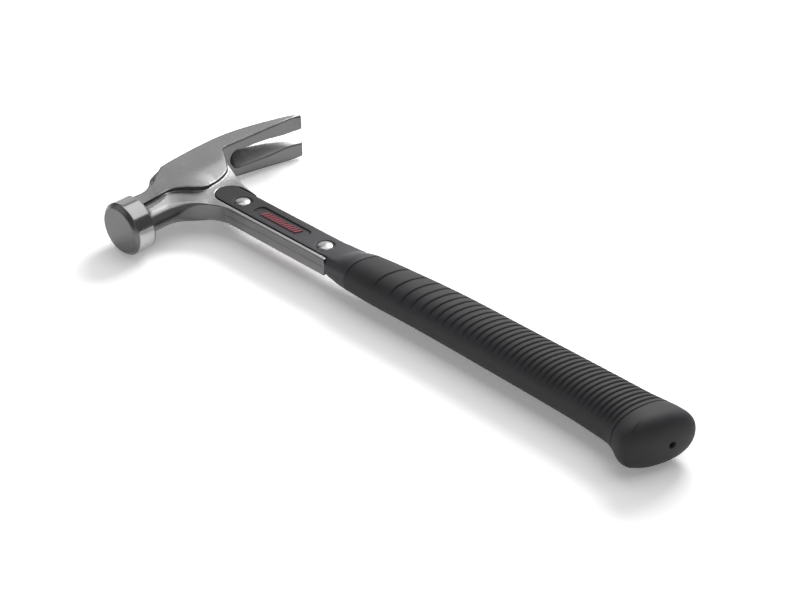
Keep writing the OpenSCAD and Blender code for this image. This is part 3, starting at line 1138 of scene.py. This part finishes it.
    def slot(self, x: Array, y: Array, z: Array) -> tuple[Array, Array]:
        """Nail slot between the claws, wide and round-edged underneath.

        Args:
            x: Place along the handle.
            y: Place towards the claws.
            z: Height above the middle plane.

        Returns:
            Signed distance of the slot and the radius of its edge.
        """
        top = self.crown_line(y)
        low = self.under_line(y)
        t = np.clip((x - top) / (low - top), *self.slot_reach)
        wide = blend(self.crown_gap(y), self.under_gap(y), t)
        start = blend(*self.slot_r, t)
        center = blend(*self.slot_root, t) + start
        cut = np.where(y > center, z - wide, np.hypot(z, y - center) - start)
        return (cut * self.slot_scale,
                self.slot_edge + self.under_edge * ease(t, *self.under_fade))

    def starter(self, solid: Array, x: Array, y: Array, z: Array) -> Array:
        """Cut the nail starting groove and the seat of its magnet.

        Args:
            solid: Distance to the solid so far.
            x: Place along the handle.
            y: Place towards the claws.
            z: Height above the middle plane.

        Returns:
            Distance to the cut solid.
        """
        center = self.starter_floor - self.starter_r
        bite = np.where(x < center, z - self.starter_r,
                        np.hypot(x - center, z) - self.starter_r)
        bite = np.maximum(bite, y - self.starter_stop)
        seat = np.maximum(np.hypot(y - self.magnet_y, z) - self.magnet_r,
                          np.maximum(center - x, x - self.magnet_deep))
        return carve(carve(solid, bite, self.starter_edge), seat,
                     self.magnet_edge)

    def shank(self, solid: Array, x: Array, y: Array, z: Array) -> Array:
        """Cut the plates' pocket and hollow the strap, then add the tang.

        Args:
            solid: Distance to the solid so far.
            x: Place along the handle.
            y: Place towards the claws.
            z: Height above the middle plane.

        Returns:
            Distance to the finished shank.
        """
        pocket = np.maximum(PLATE.outline(x, y, self.pocket_gap), WEB_Z - z)
        solid = carve(solid, pocket, self.pocket_edge)
        share = ease(x, self.dent_from - self.dent_spread,
                     self.dent_from + self.dent_spread)
        deep = (self.dent_deep + self.dent_off) * share - self.dent_off
        half = self.dent_edge
        slope = np.clip((self.shank_z - z) / (self.shank_z - self.dent_half),
                        0, 1)
        dent = np.maximum(self.dent_from - self.dent_reach - x,
                          y + self.shank_half - (deep + half) * slope + half)
        solid = carve(solid, dent, self.dent_edge)
        ends = np.maximum(self.strap_end - self.tang_lap - x,
                          x - self.tang_end)
        tang = common(ends, common(np.abs(y) - self.tang_half, z - WEB_Z,
                                   self.tang_edge), self.tang_edge)
        return np.minimum(solid, tang)

    def level(self, x: Array, y: Array, z: Array) -> Array:
        """Signed distance of the whole forging.

        Args:
            x: Place along the handle.
            y: Place towards the claws.
            z: Height above the middle plane.

        Returns:
            Signed distance, negative inside.
        """
        z = np.abs(z)
        solid = fillet(self.strap(x, y, z), self.cheeks(x, y, z),
                       self.cheek_fillet)
        solid = fillet(solid, self.poll(x, y, z), self.poll_fillet)
        solid = carve(solid, *self.slot(x, y, z))
        solid = self.starter(solid, x, y, z)
        return bored(self.shank(solid, x, y, z), x, y)

    def openness(self, surface: Skin, reach: float) -> Array:
        """How freely the field rises off the surface, 1 on a flat stretch."""
        x, y, z = (surface.points + surface.normals * reach).T
        return self.level(x, y, z) / reach

    def mark(self, piece: bpy.types.Object, surface: Skin) -> None:
        """Store where the steel is an edge, is worn or hollow, and how squarely it faces
        along Z; the finish uses these for wear and for painted shade.

        Args:
            piece: The piece.
            surface: Its surface, in millimetres.
        """
        rise = self.openness(surface, self.near_reach)
        wide = self.openness(surface, self.far_reach)
        sharp = (1 - self.openness(surface, -self.edge_reach)
                 ) * self.edge_gain - self.edge_least
        x, y, z = surface.points.T
        away = self.slot(x, y, np.abs(z))[0]
        walls = ease(away, *self.wall_fade)
        rim = (1 - ease(PLATE.outline(x, y, 0), *self.rim_fade)) * (
            1 - ease(x, *self.shank_fade))
        edge = ease(away, *self.slot_fade) * (
            1 - self.claw_edge_cut * ease(y, *self.claw_fade)) * (
                1 - rim) * np.clip(sharp, 0, 1)
        # The edge mask also drives painted shade that darkens the steel's edges.
        store(piece, "edge", edge)
        store(piece, "worn", edge * ease(x, *self.worn_fade))
        # The hollow mask drives painted shade in the steel's hollows and creases.
        store(piece, "hollow", np.clip(np.maximum(
            (1 - rise) * self.near_gain * blend(self.wall_share, 1, walls),
            (1 - wide) * self.far_gain * walls), 0, 1))
        # This mark darkens steep sides and slot walls: partly real finish, partly painted
        # shade.
        store(piece, "ground_and_side_shade", np.abs(surface.normals[:, 2]) * blend(
            self.slot_ground_and_shade_share, 1, walls))

    def build(self, material: bpy.types.Material) -> None:
        """Lay the mesh, with a fine grid where there is detail.

        Args:
            material: The finish.
        """
        p = self.pitch
        xs = spaced((-31, 46, p), (46, 112, 1.2), (112, 117, 0.5),
                    (117, 161, 4), (161, 169, 0.8), (169, 276, 6),
                    (276, 284, 0.8), (284, 304, 4), (304, 306, 0.5))
        surface = skin(self.level, xs, spaced((-67, 90, p)),
                       spaced((-self.poll_r, self.poll_r, p)))
        piece = skin_piece("hammer_head", surface, material)
        self.mark(piece, surface)
        finish_piece(piece, "forged_steel", "head_forging")


# Handle

@dataclass
class HandleForm:
    """Slanted oval sections of the handle from the plates to the butt."""

    power: float = 2.3
    dome_power: float = 2.5
    thinnest: float = 0.5
    offsets: Path = (
        (92.0, 0.0), (104.0, 0.0), (114.6, 0.1), (122.0, 0.05), (129.0, 0.3),
        (133.0, 0.7), (136.6, 1.0), (153.0, 1.4), (193.0, 2.6), (244.0, 2.0),
        (295.0, 1.1), (320.0, -0.1), (328.0, -0.6), (334.0, -1.9),
        (340.0, -3.8), (344.0, -4.6), (352.0, -4.8))
    widths: Path = (
        (92.0, 9.0), (104.0, 10.5), (114.6, 11.1), (122.0, 11.95),
        (129.0, 12.7), (133.0, 13.3), (136.6, 13.8), (153.0, 14.7), (193.0, 15.9),
        (244.0, 16.1), (295.0, 16.6), (320.0, 17.3), (328.0, 18.0),
        (334.0, 19.4), (339.0, 20.9), (343.0, 21.3), (352.0, 21.3))
    heights: Path = (
        (92.0, 2.5), (104.0, 4.8), (110.0, 5.6), (114.6, 6.3), (120.0, 7.3),
        (125.0, 9.0), (129.0, 10.2), (132.5, 10.8), (136.6, 10.9),
        (153.0, 11.4), (193.0, 11.6), (244.0, 12.2), (295.0, 12.6),
        (320.0, 13.1), (328.0, 13.5), (334.0, 14.2), (339.0, 15.0),
        (343.0, 15.22), (352.0, 15.22))
    slants: Path = (
        (100.0, 0.0), (114.6, 0.0), (136.4, 0.25), (333.0, 0.25),
        (342.0, 0.33), (360.0, 0.33))

    def __post_init__(self) -> None:
        """Prepare the section curves."""
        self.offset = Curve(self.offsets)
        self.width = Curve(self.widths)
        self.height = Curve(self.heights)
        self.slant = Curve(self.slants)

    def station(self, x: Array, y: Array) -> Array:
        """Place down the handle of the slanted section through a point.

        Args:
            x: Place along the handle.
            y: Place towards the claws.

        Returns:
            The section's place along the handle.
        """
        s = x
        for _ in range(2):
            s = x - self.slant(s) * (y - self.offset(s))
        return s

    def level(self, x: Array, y: Array, z: Array, grow: float = 0.0,
              dome: Pair | None = None) -> Array:
        """Distance to the handle's surface.

        Args:
            x: Place along the handle.
            y: Place towards the claws.
            z: Height above the middle plane.
            grow: How far the surface is moved outwards.
            dome: Where an end dome starts and how deep it is.

        Returns:
            Signed distance, negative inside.
        """
        s = self.station(x, y)
        a = np.maximum(self.width(s) + grow, self.thinnest)
        b = np.maximum(self.height(s) + grow, self.thinnest)
        u = np.abs(y - self.offset(s)) / a
        v = np.abs(z) / b
        size = (u ** self.power + v ** self.power + TINY) ** (1 / self.power)
        if dome:
            w = np.maximum(s - dome[0], 0) / dome[1]
            size = (size ** self.dome_power
                    + w ** self.dome_power) ** (1 / self.dome_power)
        return (size - 1) * np.minimum(a, b)

    def ring(self, station: float, grow: float, count: int) -> Array:
        """Points of one section, from the claw side round over the top.

        Args:
            station: Place of the section.
            grow: How far it is moved outwards.
            count: Number of points.

        Returns:
            The points, one a row.
        """
        t = 2 * np.pi * np.arange(count) / count
        y, z = (
            (half(station) + grow) * np.sign(way) * np.abs(way) ** (2 / self.power)
            for half, way in ((self.width, np.cos(t)), (self.height, np.sin(t))))
        return np.stack([station + self.slant(station) * y,
                         self.offset(station) + y, z], axis=1)


FORM = HandleForm()


@dataclass
class HandleShell:
    """One moulded half: side plate, collar and the core under the rubber.

    Fields that end in _edge and _fillet are rounding radii.
    """

    pitch: float = 0.55
    face_z: float = 6.0
    seam_z: float = -0.12
    plate_end: float = 125.0
    plate_edge: float = 0.35
    rear_edge: float = 2.6
    rear_seam: float = 0.1
    collar_start: float = 96.0
    collar_fade: Pair = (100.0, 118.0)
    collar_fillet: Pair = (0.2, 3.2)
    grip_start: float = 136.4
    grip_edge: float = 0.5
    wall: float = 3.3
    core_start: float = 120.0
    core_end: float = 339.3
    strap_end: float = 114.75
    strap_edge: float = 0.3
    tang_half: float = 7.65
    tang_end: float = 305.15
    sink_z: float = 5.3
    sink_r: float = 5.5
    sink_edge: float = 0.45
    badge_from: float = 46.5
    badge_to: float = 89.5
    badge_half: float = 4.8
    badge_r: float = 3.4
    badge_z: float = 5.2
    badge_edge: float = 0.3

    def badge(self, x: Array, y: Array) -> Array:
        """Outline of the badge recess.

        Args:
            x: Place along the handle.
            y: Place towards the claws.

        Returns:
            Signed distance, negative inside.
        """
        middle = (self.badge_from + self.badge_to) / 2
        long = (self.badge_to - self.badge_from) / 2 - self.badge_r
        u = np.abs(x - middle) - long
        v = np.abs(y) - self.badge_half + self.badge_r
        return (np.hypot(np.maximum(u, 0), np.maximum(v, 0))
                + np.minimum(np.maximum(u, v), 0) - self.badge_r)

    def level(self, x: Array, y: Array, z: Array) -> Array:
        """Signed distance of the upper half.

        Args:
            x: Place along the handle.
            y: Place towards the claws.
            z: Height above the middle plane.

        Returns:
            Signed distance, negative inside.
        """
        station = FORM.station(x, y)
        top = z - self.face_z
        rear = PLATE.center + PLATE.half
        plate = common(PLATE.outline(x, y, 0), top, self.plate_edge)
        plate = common(plate, common(y - rear, top, self.rear_edge),
                       self.rear_seam)
        plate = np.maximum(plate, x - self.plate_end)
        collar = np.maximum(FORM.level(x, y, z), self.collar_start - x)
        outer = fillet(plate, collar, blend(
            *self.collar_fillet, ease(x, *self.collar_fade)))
        outer = common(outer, station - self.grip_start, self.grip_edge)
        core = np.maximum(FORM.level(x, y, z, -self.wall), np.maximum(
            self.core_start - x, station - self.core_end))
        solid = np.minimum(outer, core)

        solid = np.where(x < self.strap_end,
                         np.maximum(solid, WEB_Z - z), solid)
        front = PLATE.center - PLATE.half
        solid = carve(solid, np.maximum(x - self.strap_end, y - front),
                      self.strap_edge)
        tang = np.maximum(np.maximum(np.abs(y) - self.tang_half,
                                     x - self.tang_end), z - WEB_Z)
        solid = np.maximum(np.maximum(solid, -tang), self.seam_z - z)
        for place in RIVETS_X:
            sink = np.maximum(np.hypot(x - place, y) - self.sink_r,
                              self.sink_z - z)
            solid = carve(solid, sink, self.sink_edge)
        recess = common(self.badge(x, y), self.badge_z - z, self.badge_edge)
        return carve(bored(solid, x, y), recess, self.badge_edge)

    def build(self, material: bpy.types.Material) -> None:
        """Lay one half and mirror it for the other.

        Args:
            material: The finish.
        """
        p = self.pitch
        xs = spaced((11.5, 142, p), (142, 160, 3), (160, 170, 0.9),
                    (170, 275, 5), (275, 285, 0.9), (285, 330, 4),
                    (330, 346, 1))
        ys = spaced((-17.5, 19.5, p))
        zs = spaced((-0.6, 13.4, p))
        upper = skin(self.level, xs, ys, zs)
        for word, surface in (("left", upper), ("right", upper.mirrored())):
            piece = skin_piece(f"shell_{word}", surface, material)
            finish_piece(piece, "shell_nylon", f"handle_shell_{word}")


# Rubber

class GeometryTree(Tree):
    """A Geometry Nodes tree with named inputs."""

    def __init__(self, name: str, **inputs: tuple[str, object]) -> None:
        """Make the tree and its interface.

        Args:
            name: Name of the tree.
            inputs: Socket type and default of each input, by name.
        """
        group = bpy.data.node_groups.new(name, "GeometryNodeTree")
        super().__init__(group)
        face = group.interface
        face.new_socket("Geometry", in_out="INPUT",
                        socket_type="NodeSocketGeometry")
        face.new_socket("Geometry", in_out="OUTPUT",
                        socket_type="NodeSocketGeometry")
        self.ids: dict[str, str] = {}
        for key, (kind, default) in inputs.items():
            socket = face.new_socket(key, in_out="INPUT", socket_type=kind)
            if default is not None:
                socket.default_value = default
            self.ids[key] = socket.identifier
        self.entry = group.nodes.new("NodeGroupInput")
        self.exit = group.nodes.new("NodeGroupOutput")

    def given(self, name: str) -> Socket:
        """One of the tree's inputs."""
        return Socket(self, self.entry.outputs[name])

    def kept(self, name: str, kind: str = "FLOAT") -> Socket:
        """An attribute of the mesh."""
        return self.node("GeometryNodeInputNamedAttribute",
                         {"data_type": kind}, {"Name": name})

    def end(self, geometry: Socket) -> None:
        """Realize, set the material and link the output.

        Args:
            geometry: What the tree has made.
        """
        whole = self.node("GeometryNodeRealizeInstances", None, {0: geometry})
        dressed = self.node("GeometryNodeSetMaterial", None, {
            "Geometry": whole, "Material": self.given("Material")})
        self.tree.links.new(dressed.socket, self.exit.inputs[0])

    def apply(self, piece: bpy.types.Object, **values: object) -> None:
        """Run the tree on a piece and keep the result as a plain mesh.

        Args:
            piece: The piece that goes into the tree.
            values: Values of the tree's inputs, by name.
        """
        modifier = piece.modifiers.new("made", "NODES")
        modifier.node_group = self.tree
        for key, value in values.items():
            modifier[self.ids[key]] = value
        bpy.context.view_layer.update()
        graph = bpy.context.evaluated_depsgraph_get()
        mesh = bpy.data.meshes.new_from_object(
            piece.evaluated_get(graph), preserve_all_data_layers=True,
            depsgraph=graph)
        piece.modifiers.remove(modifier)
        piece.data = mesh
        mesh.polygons.foreach_set("use_smooth", [True] * len(mesh.polygons))


@dataclass
class GripSleeve:
    """Rubber sleeve whose grooves close up towards the butt.

    The pitch of groove number k is a unit times 1 + unit_lead / k ** unit_power,
    and the unit is set so that the last groove falls at the sleeve's end.
    Grooves fade out on the front side between two angles in degrees.
    """

    start: float = 136.55
    end: float = 333.25
    first: float = 136.4
    last: float = 333.4
    wall: float = 2.9
    row: float = 0.3
    columns: int = 72
    inner_rows: int = 24
    lip: Path = ((0.0, -0.55), (0.25, -0.12))
    lip_end: float = 0.7
    count: int = 40
    unit_lead: float = 6.46
    unit_power: float = 1.02
    groove_half: float = 0.95
    groove_deep: float = 0.85
    fade_from: float = 138.0
    fade_to: float = 160.0

    def tree(self) -> GeometryTree:
        """Nodes that press a row of grooves into a tube.

        Returns:
            The tree.
        """
        number = "NodeSocketFloat"
        names = ("First", "Unit", "Lead", "Power", "Half", "Depth",
                 "FadeFrom", "FadeTo")
        g = GeometryTree(
            "press_grooves", Count=("NodeSocketInt", 1),
            **{name: (number, 1.0) for name in names},
            Material=("NodeSocketMaterial", None))
        index = g.node("GeometryNodeInputIndex")
        pitch = g.given("Unit") * (1 + g.given("Lead") / (
            (index + 1) ** g.given("Power")))
        run = g.node("GeometryNodeAccumulateField", {"data_type": "FLOAT"},
                     {0: pitch}, "Trailing")
        place = g.node("ShaderNodeCombineXYZ", None,
                       {"X": run + g.given("First")})
        marks = g.node("GeometryNodePoints", None, {"Count": g.given("Count")})
        marks = g.node("GeometryNodeSetPosition", None, {
            "Geometry": marks, "Position": place})
        spot = g.node("ShaderNodeCombineXYZ", None, {"X": g.kept("station")})
        away = g.node("GeometryNodeProximity", {"target_element": "POINTS"}, {
            0: marks, "Sample Position": spot}, "Distance")
        press = g.share(away, g.given("Half"), 0.0) * g.share(
            g.kept("turn"), g.given("FadeTo"), g.given("FadeFrom"))
        push = g.node("ShaderNodeVectorMath", {"operation": "SCALE"}, {
            0: g.kept("inward", "FLOAT_VECTOR"),
            "Scale": press * g.given("Depth")})
        # The groove mask is also kept for the rubber's painted shade in the grooves.
        marked = g.node("GeometryNodeStoreNamedAttribute",
                        {"data_type": "FLOAT", "domain": "POINT"},
                        {"Geometry": g.given("Geometry"), "Name": "groove",
                         "Value": press})
        g.end(g.node("GeometryNodeSetPosition", None,
                     {"Geometry": marked, "Offset": push}))
        return g

    def rows(self) -> list[Pair]:
        """Place and growth of each section, out along the rubber and back.

        Returns:
            Place and growth of each section.
        """
        outer = spaced((self.start + self.lip_end, self.end - self.lip_end,
                        self.row))
        inner = np.linspace(self.end, self.start, self.inner_rows)
        return [*((self.start + s, g) for s, g in self.lip),
                *((s, 0.0) for s in outer),
                *((self.end - s, g) for s, g in reversed(self.lip)),
                *((s, -self.wall) for s in inner)]

    def build(self, material: bpy.types.Material) -> None:
        """Make the plain tube and press its grooves.

        Args:
            material: The finish.
        """
        n = self.columns
        rows = self.rows()
        points = np.vstack([FORM.ring(s, g, n) for s, g in rows])
        count = len(rows)
        faces = [
            (r * n + c, r * n + (c + 1) % n,
             (r + 1) % count * n + (c + 1) % n, (r + 1) % count * n + c)
            for r in range(count) for c in range(n)]
        piece = new_piece("grip_rubber_sleeve", to_part(points), faces,
                          material)
        inner = np.vstack([FORM.ring(s, g - 1.0, n) for s, g in rows])
        outer = np.repeat([g > -1 for _, g in rows], n)
        store(piece, "inward", (inner - points) * MM * outer[:, None])
        store(piece, "station", np.repeat([s for s, _ in rows], n) * MM)
        t = 360 * np.arange(n) / n
        store(piece, "turn", np.tile(np.minimum(t, 360 - t), count))
        pitches = 1 + self.unit_lead / (
            np.arange(self.count) + 1) ** self.unit_power
        unit = (self.last - self.first) / pitches.sum()
        self.tree().apply(
            piece, Count=self.count, First=self.first * MM, Unit=unit * MM,
            Lead=self.unit_lead, Power=self.unit_power,
            Half=self.groove_half * MM, Depth=self.groove_deep,
            FadeFrom=self.fade_from, FadeTo=self.fade_to, Material=material)
        finish_piece(piece, "grip_rubber", "grip_sleeve")


@dataclass
class ButtCap:
    """Flared rubber knob that closes the grip."""

    pitch: float = 0.6
    start: float = 333.55
    start_edge: float = 0.5
    dome: Pair = (341.0, 10.95)
    socket_end: float = 339.7
    socket_wall: float = -5.7
    hole_r: float = 1.8
    hole_y: float = -2.76
    hole_floor: float = 344.0
    hole_edge: float = 0.35

    def level(self, x: Array, y: Array, z: Array) -> Array:
        """Signed distance of the cap.

        Args:
            x: Place along the handle.
            y: Place towards the claws.
            z: Height above the middle plane.

        Returns:
            Signed distance, negative inside.
        """
        station = FORM.station(x, y)
        cap = common(FORM.level(x, y, z, 0, self.dome), self.start - station,
                     self.start_edge)
        hollow = np.maximum(FORM.level(x, y, z, self.socket_wall),
                            station - self.socket_end)
        hole = np.maximum(np.hypot(y - self.hole_y, z) - self.hole_r,
                          self.hole_floor - x)
        return carve(np.maximum(cap, -hollow), hole, self.hole_edge)

    def build(self, material: bpy.types.Material) -> None:
        """Lay the mesh.

        Args:
            material: The finish.
        """
        p = self.pitch
        surface = skin(self.level, spaced((325, 362, p)),
                       spaced((-27.5, 19.5, p)), spaced((-16.2, 16.2, p)))
        piece = skin_piece("butt_knob", surface, material)
        store(piece, "groove", np.zeros(len(surface.points)))
        finish_piece(piece, "grip_rubber", "butt_cap")


# Fastenings

Faces = list[tuple[int, ...]]


def turned(profile: Path, count: int) -> tuple[Array, Faces]:
    """Spin a profile of radius and height round the Z axis.

    Args:
        profile: Pairs of radius and height, from the axis outwards and back.
        count: Points round the axis.

    Returns:
        The vertices and the faces, closed at both ends.
    """
    t = 2 * np.pi * np.arange(count) / count
    rings = profile[1:-1]
    points = [(0, 0, profile[0][1])]
    for r, z in rings:
        points += [(r * math.cos(a), r * math.sin(a), z) for a in t]
    points.append((0, 0, profile[-1][1]))
    last = len(points) - 1
    end = last - count
    faces: Faces = [(1 + (c + 1) % count, 1 + c, 0) for c in range(count)]
    for a in range(1, end, count):
        b = a + count
        faces += [(a + (c + 1) % count, b + (c + 1) % count, b + c, a + c)
                  for c in range(count)]
    faces += [(end + (c + 1) % count, last, end + c) for c in range(count)]
    return np.array(points), faces


def seat_tree() -> GeometryTree:
    """Nodes that seat copies of a fastener on a line of places.

    Returns:
        The tree.
    """
    vector = ("NodeSocketVector", (0, 0, 0))
    g = GeometryTree(
        "seat_fasteners", Count=("NodeSocketInt", 1), First=vector,
        Pitch=vector, Turn=("NodeSocketFloat", 0.0),
        Material=("NodeSocketMaterial", None))
    line = g.node("GeometryNodeMeshLine", {"mode": "OFFSET"}, {
        "Count": g.given("Count"), "Start Location": g.given("First"),
        "Offset": g.given("Pitch")})
    turn = g.node("ShaderNodeCombineXYZ", None, {"X": g.given("Turn")})
    copies = g.node("GeometryNodeInstanceOnPoints", None, {
        "Points": line, "Instance": g.given("Geometry"), "Rotation": turn})
    g.end(copies)
    return g


@dataclass
class Rivets:
    """Two-piece rivets that clamp the side plates on the web."""

    words: tuple[str, str] = ("upper", "lower")
    seat: float = 5.3
    head_r: float = 4.9
    head_h: float = 1.7
    dome_r: float = 4.8265
    dome_turn: float = 86.0
    dome_rows: int = 14
    dome_low: float = 0.25
    rim: Pair = (0.18, 0.02)
    stem_r: float = 1.8
    stem_gap: float = 0.05
    stem_short: float = 0.15
    barrel_r: float = 3.0
    barrel_short: float = 0.17
    floor: float = 0.02
    round_count: int = 64
    sharp: float = 50.0

    def head(self) -> list[Pair]:
        """Profile of the low dome from its top to its rim.

        Returns:
            Pairs of radius and height.
        """
        dome = [(self.dome_r * math.sin(a), self.seat + self.dome_low
                 + (self.head_h - self.dome_low) * math.cos(a))
                for a in np.radians(np.linspace(0, self.dome_turn,
                                                self.dome_rows))]
        dome[0] = (0, self.seat + self.head_h)
        return dome + [(self.head_r, self.seat + up) for up in self.rim]

    def build(self, material: bpy.types.Material) -> None:
        """Make the solid half on the upper side and the hollow one below.

        Args:
            material: The finish.
        """
        tree = seat_tree()
        low = self.stem_short - self.seat
        deep = self.seat - self.floor
        end = self.barrel_short - deep
        bore = self.stem_r + self.stem_gap
        cap = [(self.stem_r, self.seat), (self.stem_r, low), (0, low)]
        post = [(self.barrel_r, self.seat), (self.barrel_r, end), (bore, end),
                (bore, deep), (0, deep)]
        for word, place in zip(self.words, RIVETS_X):
            for part, stem, turn in (("cap", cap, 0.0),
                                     ("post", post, math.pi)):
                points, faces = turned([*self.head(), *stem],
                                       self.round_count)
                piece = new_piece(f"rivet_{part}_{word}", points * MM, faces,
                                  material)
                spot = to_part(np.array([place, 0, 0]))
                tree.apply(piece, Count=1, First=tuple(spot),
                           Pitch=(0, 0, 0), Turn=turn, Material=material)
                piece.data.set_sharp_from_angle(
                    angle=math.radians(self.sharp))
                finish_piece(piece, "rivet_steel", f"{word}_rivet_{part}")


@dataclass
class Badge:
    """Row of slanted bars on the floor of the badge recess."""

    middle: float = 68.0
    floor: float = 5.2
    count: int = 12
    pitch: float = 2.5
    width: float = 1.95
    height: float = 4.9
    thick: float = 0.5
    lean: float = 1.0
    edge: float = 0.12
    sharp: float = 30.0

    def bar(self, side: Side) -> tuple[Array, Faces]:
        """One bar with a small bevel round its top.

        Args:
            side: Which way the bar faces.

        Returns:
            The vertices and the faces.
        """
        points = []
        for inset, z in ((0, 0.0), (0, self.thick - self.edge),
                         (self.edge, self.thick)):
            a, b = self.width / 2 - inset, self.height / 2 - inset
            points += [(u * a + v * self.lean, v * b, z * side.value)
                       for u, v in ((-1, -1), (1, -1), (1, 1), (-1, 1))]
        faces: Faces = [(3, 2, 1, 0), (8, 9, 10, 11)]
        for base in (0, 4):
            faces += [(base + i, base + (i + 1) % 4, base + 4 + (i + 1) % 4,
                       base + 4 + i) for i in range(4)]
        if side is Side.LOWER:
            faces = [f[::-1] for f in faces]
        return np.array(points), faces

    def build(self, material: bpy.types.Material) -> None:
        """Lay the row in the recess of each handle half.

        Args:
            material: The finish.
        """
        tree = seat_tree()
        first = self.middle - (self.count - 1) / 2 * self.pitch
        for side, word in ((Side.UPPER, "left"), (Side.LOWER, "right")):
            points, faces = self.bar(side)
            piece = new_piece(f"inlay_bars_{word}", points * MM, faces,
                              material)
            place = to_part(np.array([first, 0, side.value * self.floor]))
            tree.apply(piece, Count=self.count, First=tuple(place),
                       Pitch=(self.pitch * MM, 0, 0), Turn=0.0,
                       Material=material)
            piece.data.set_sharp_from_angle(angle=math.radians(self.sharp))
            finish_piece(piece, "badge_red", f"badge_{word}")


# Studio

@dataclass(frozen=True)
class Panel:
    """A flat lamp. Its level is its brightness, where 1 is white."""

    name: str
    place: Place
    size: Pair
    level: float
    aim: Place = (0.0, 0.0, 0.0)

    def build(self) -> None:
        """Hang the lamp and turn it to the point it faces."""
        data = bpy.data.lights.new(self.name, "AREA")
        data.shape = "RECTANGLE"
        data.size, data.size_y = self.size
        data.energy = self.level * math.pi * self.size[0] * self.size[1]
        lamp = bpy.data.objects.new(self.name, data)
        lamp.location = self.place
        way = Vector(self.aim) - Vector(self.place)
        lamp.rotation_euler = way.to_track_quat("-Z", "Y").to_euler()
        bpy.context.scene.collection.objects.link(lamp)


@dataclass
class Studio:
    """Camera, lamps and floor."""

    lens: float = 80.51
    sensor: float = 36.0
    azimuth: float = 45.46
    elevation: float = 33.66
    roll: float = -0.25
    distance: float = 978.0
    target: Place = (168.07, -4.06, 0.0)
    floor_half: float = 4.0
    floor_tone: float = 0.91
    floor_shown: float = 1.24
    floor_glow: float = 0.2
    room: float = 0.1
    panels: tuple[Panel, ...] = (
        Panel("overhead", (0.0, 0.5, 1.5), (2.2, 1.6), 1.1, (0.0, 0.5, 0.0)),
        Panel("back_left", (-1.4, 1.2, 0.75), (1.7, 1.3), 0.65),
        Panel("front_left", (-1.3, -1.5, 0.9), (1.8, 1.2), 0.34),
        Panel("front_right", (1.5, -1.3, 0.9), (1.8, 1.2), 0.3))
    key_way: Place = (-0.25, 0.708, 0.66)
    key_far: float = 1.2
    key_size: Pair = (0.65, 0.32)
    key_level: float = 14.0

    def camera(self) -> None:
        """Place the camera where the photograph was taken from."""
        az, el = math.radians(self.azimuth), math.radians(self.elevation)
        way = Vector((math.cos(el) * math.cos(az),
                      -math.cos(el) * math.sin(az), math.sin(el)))
        aim = Vector(to_part(np.array(self.target)))
        data = bpy.data.cameras.new("camera")
        data.lens = self.lens
        data.sensor_width = self.sensor
        data.sensor_fit = "HORIZONTAL"
        data.clip_start = 0.01
        camera = bpy.data.objects.new("camera", data)
        bpy.context.scene.collection.objects.link(camera)
        turn = (-way).to_track_quat("-Z", "Y").to_matrix().to_4x4()
        camera.matrix_world = (
            Matrix.Translation(aim + way * self.distance * MM) @ turn
            @ Matrix.Rotation(math.radians(self.roll), 4, "Z"))
        bpy.context.scene.camera = camera

    def world(self) -> None:
        """Set an even grey surrounding."""
        world = bpy.data.worlds.new("room")
        world.use_nodes = True
        bpy.context.scene.world = world
        node = world.node_tree.nodes["Background"]
        node.inputs["Color"].default_value = grey(1.0)
        node.inputs["Strength"].default_value = self.room

    def floor(self) -> None:
        """Lay a pale floor that looks white and keeps the shadow."""
        half = self.floor_half
        corners = np.array([(-half, -half, 0), (half, -half, 0),
                            (half, half, 0), (-half, half, 0)])
        s = Shader("pale_floor")
        path = s.tree.nodes.new("ShaderNodeLightPath")
        seen = Socket(s, path.outputs["Is Camera Ray"]) + Socket(
            s, path.outputs["Is Glossy Ray"]) + Socket(
            s, path.outputs["Is Transmission Ray"])
        share = s.math("MINIMUM", seen, 1.0)
        base = s.tint(share, grey(self.floor_tone), grey(self.floor_shown))
        matt = s.node("ShaderNodeBsdfDiffuse", None, {"Color": base})
        glow = s.node("ShaderNodeEmission", None,
                      {"Strength": self.floor_glow})
        both = s.node("ShaderNodeAddShader", None, {0: matt, 1: glow})
        s.show(s.node("ShaderNodeMixShader", None, {
            0: share, 1: matt, 2: both}))
        floor = new_piece("floor", corners, [(0, 1, 2, 3)], s.material)

    def build(self) -> None:
        """Set up the whole studio."""
        self.camera()
        self.floor()
        self.world()
        for panel in self.panels:
            panel.build()
        key = Vector(self.key_way).normalized() * self.key_far
        Panel("key", tuple(key), self.key_size, self.key_level).build()
        bpy.context.scene.view_settings.view_transform = "Standard"


# Assembly

def dress_cad(name: str, slot_material: bpy.types.Material) -> None:
    """Give a kept CAD node its finish.

    Args:
        name: Name of the node.
        slot_material: Its finish.
    """
    node = frame["nodes"][name]
    node.data.materials.clear()
    node.data.materials.append(slot_material)
    LOG.info("%s: kept from the packed model", name)


def main() -> None:
    """Build the hammer piece by piece, then the studio round it."""
    logging.basicConfig(level=logging.INFO, format="%(name)s %(message)s")
    steel = ForgedSteel().material()
    nylon = MouldedNylon().material()
    rubber = GripRubber().material()
    bright = PolishedSteel().material()
    red = InlayRed().material()
    plating = PolishedSteel("magnet_plating", 0.45, 0.3).material()
    pin = PolishedSteel("pin_steel", 0.5, 0.35).material()
    Studio().build()
    HeadForging().build(steel)
    HandleShell().build(nylon)
    GripSleeve().build(rubber)
    ButtCap().build(rubber)
    Rivets().build(bright)
    Badge().build(red)
    for name, finish in (("starter_magnet", plating), ("upper_tang_pin", pin),
                         ("lower_tang_pin", pin)):
        dress_cad(name, finish)


if __name__ == "__main__":
    main()
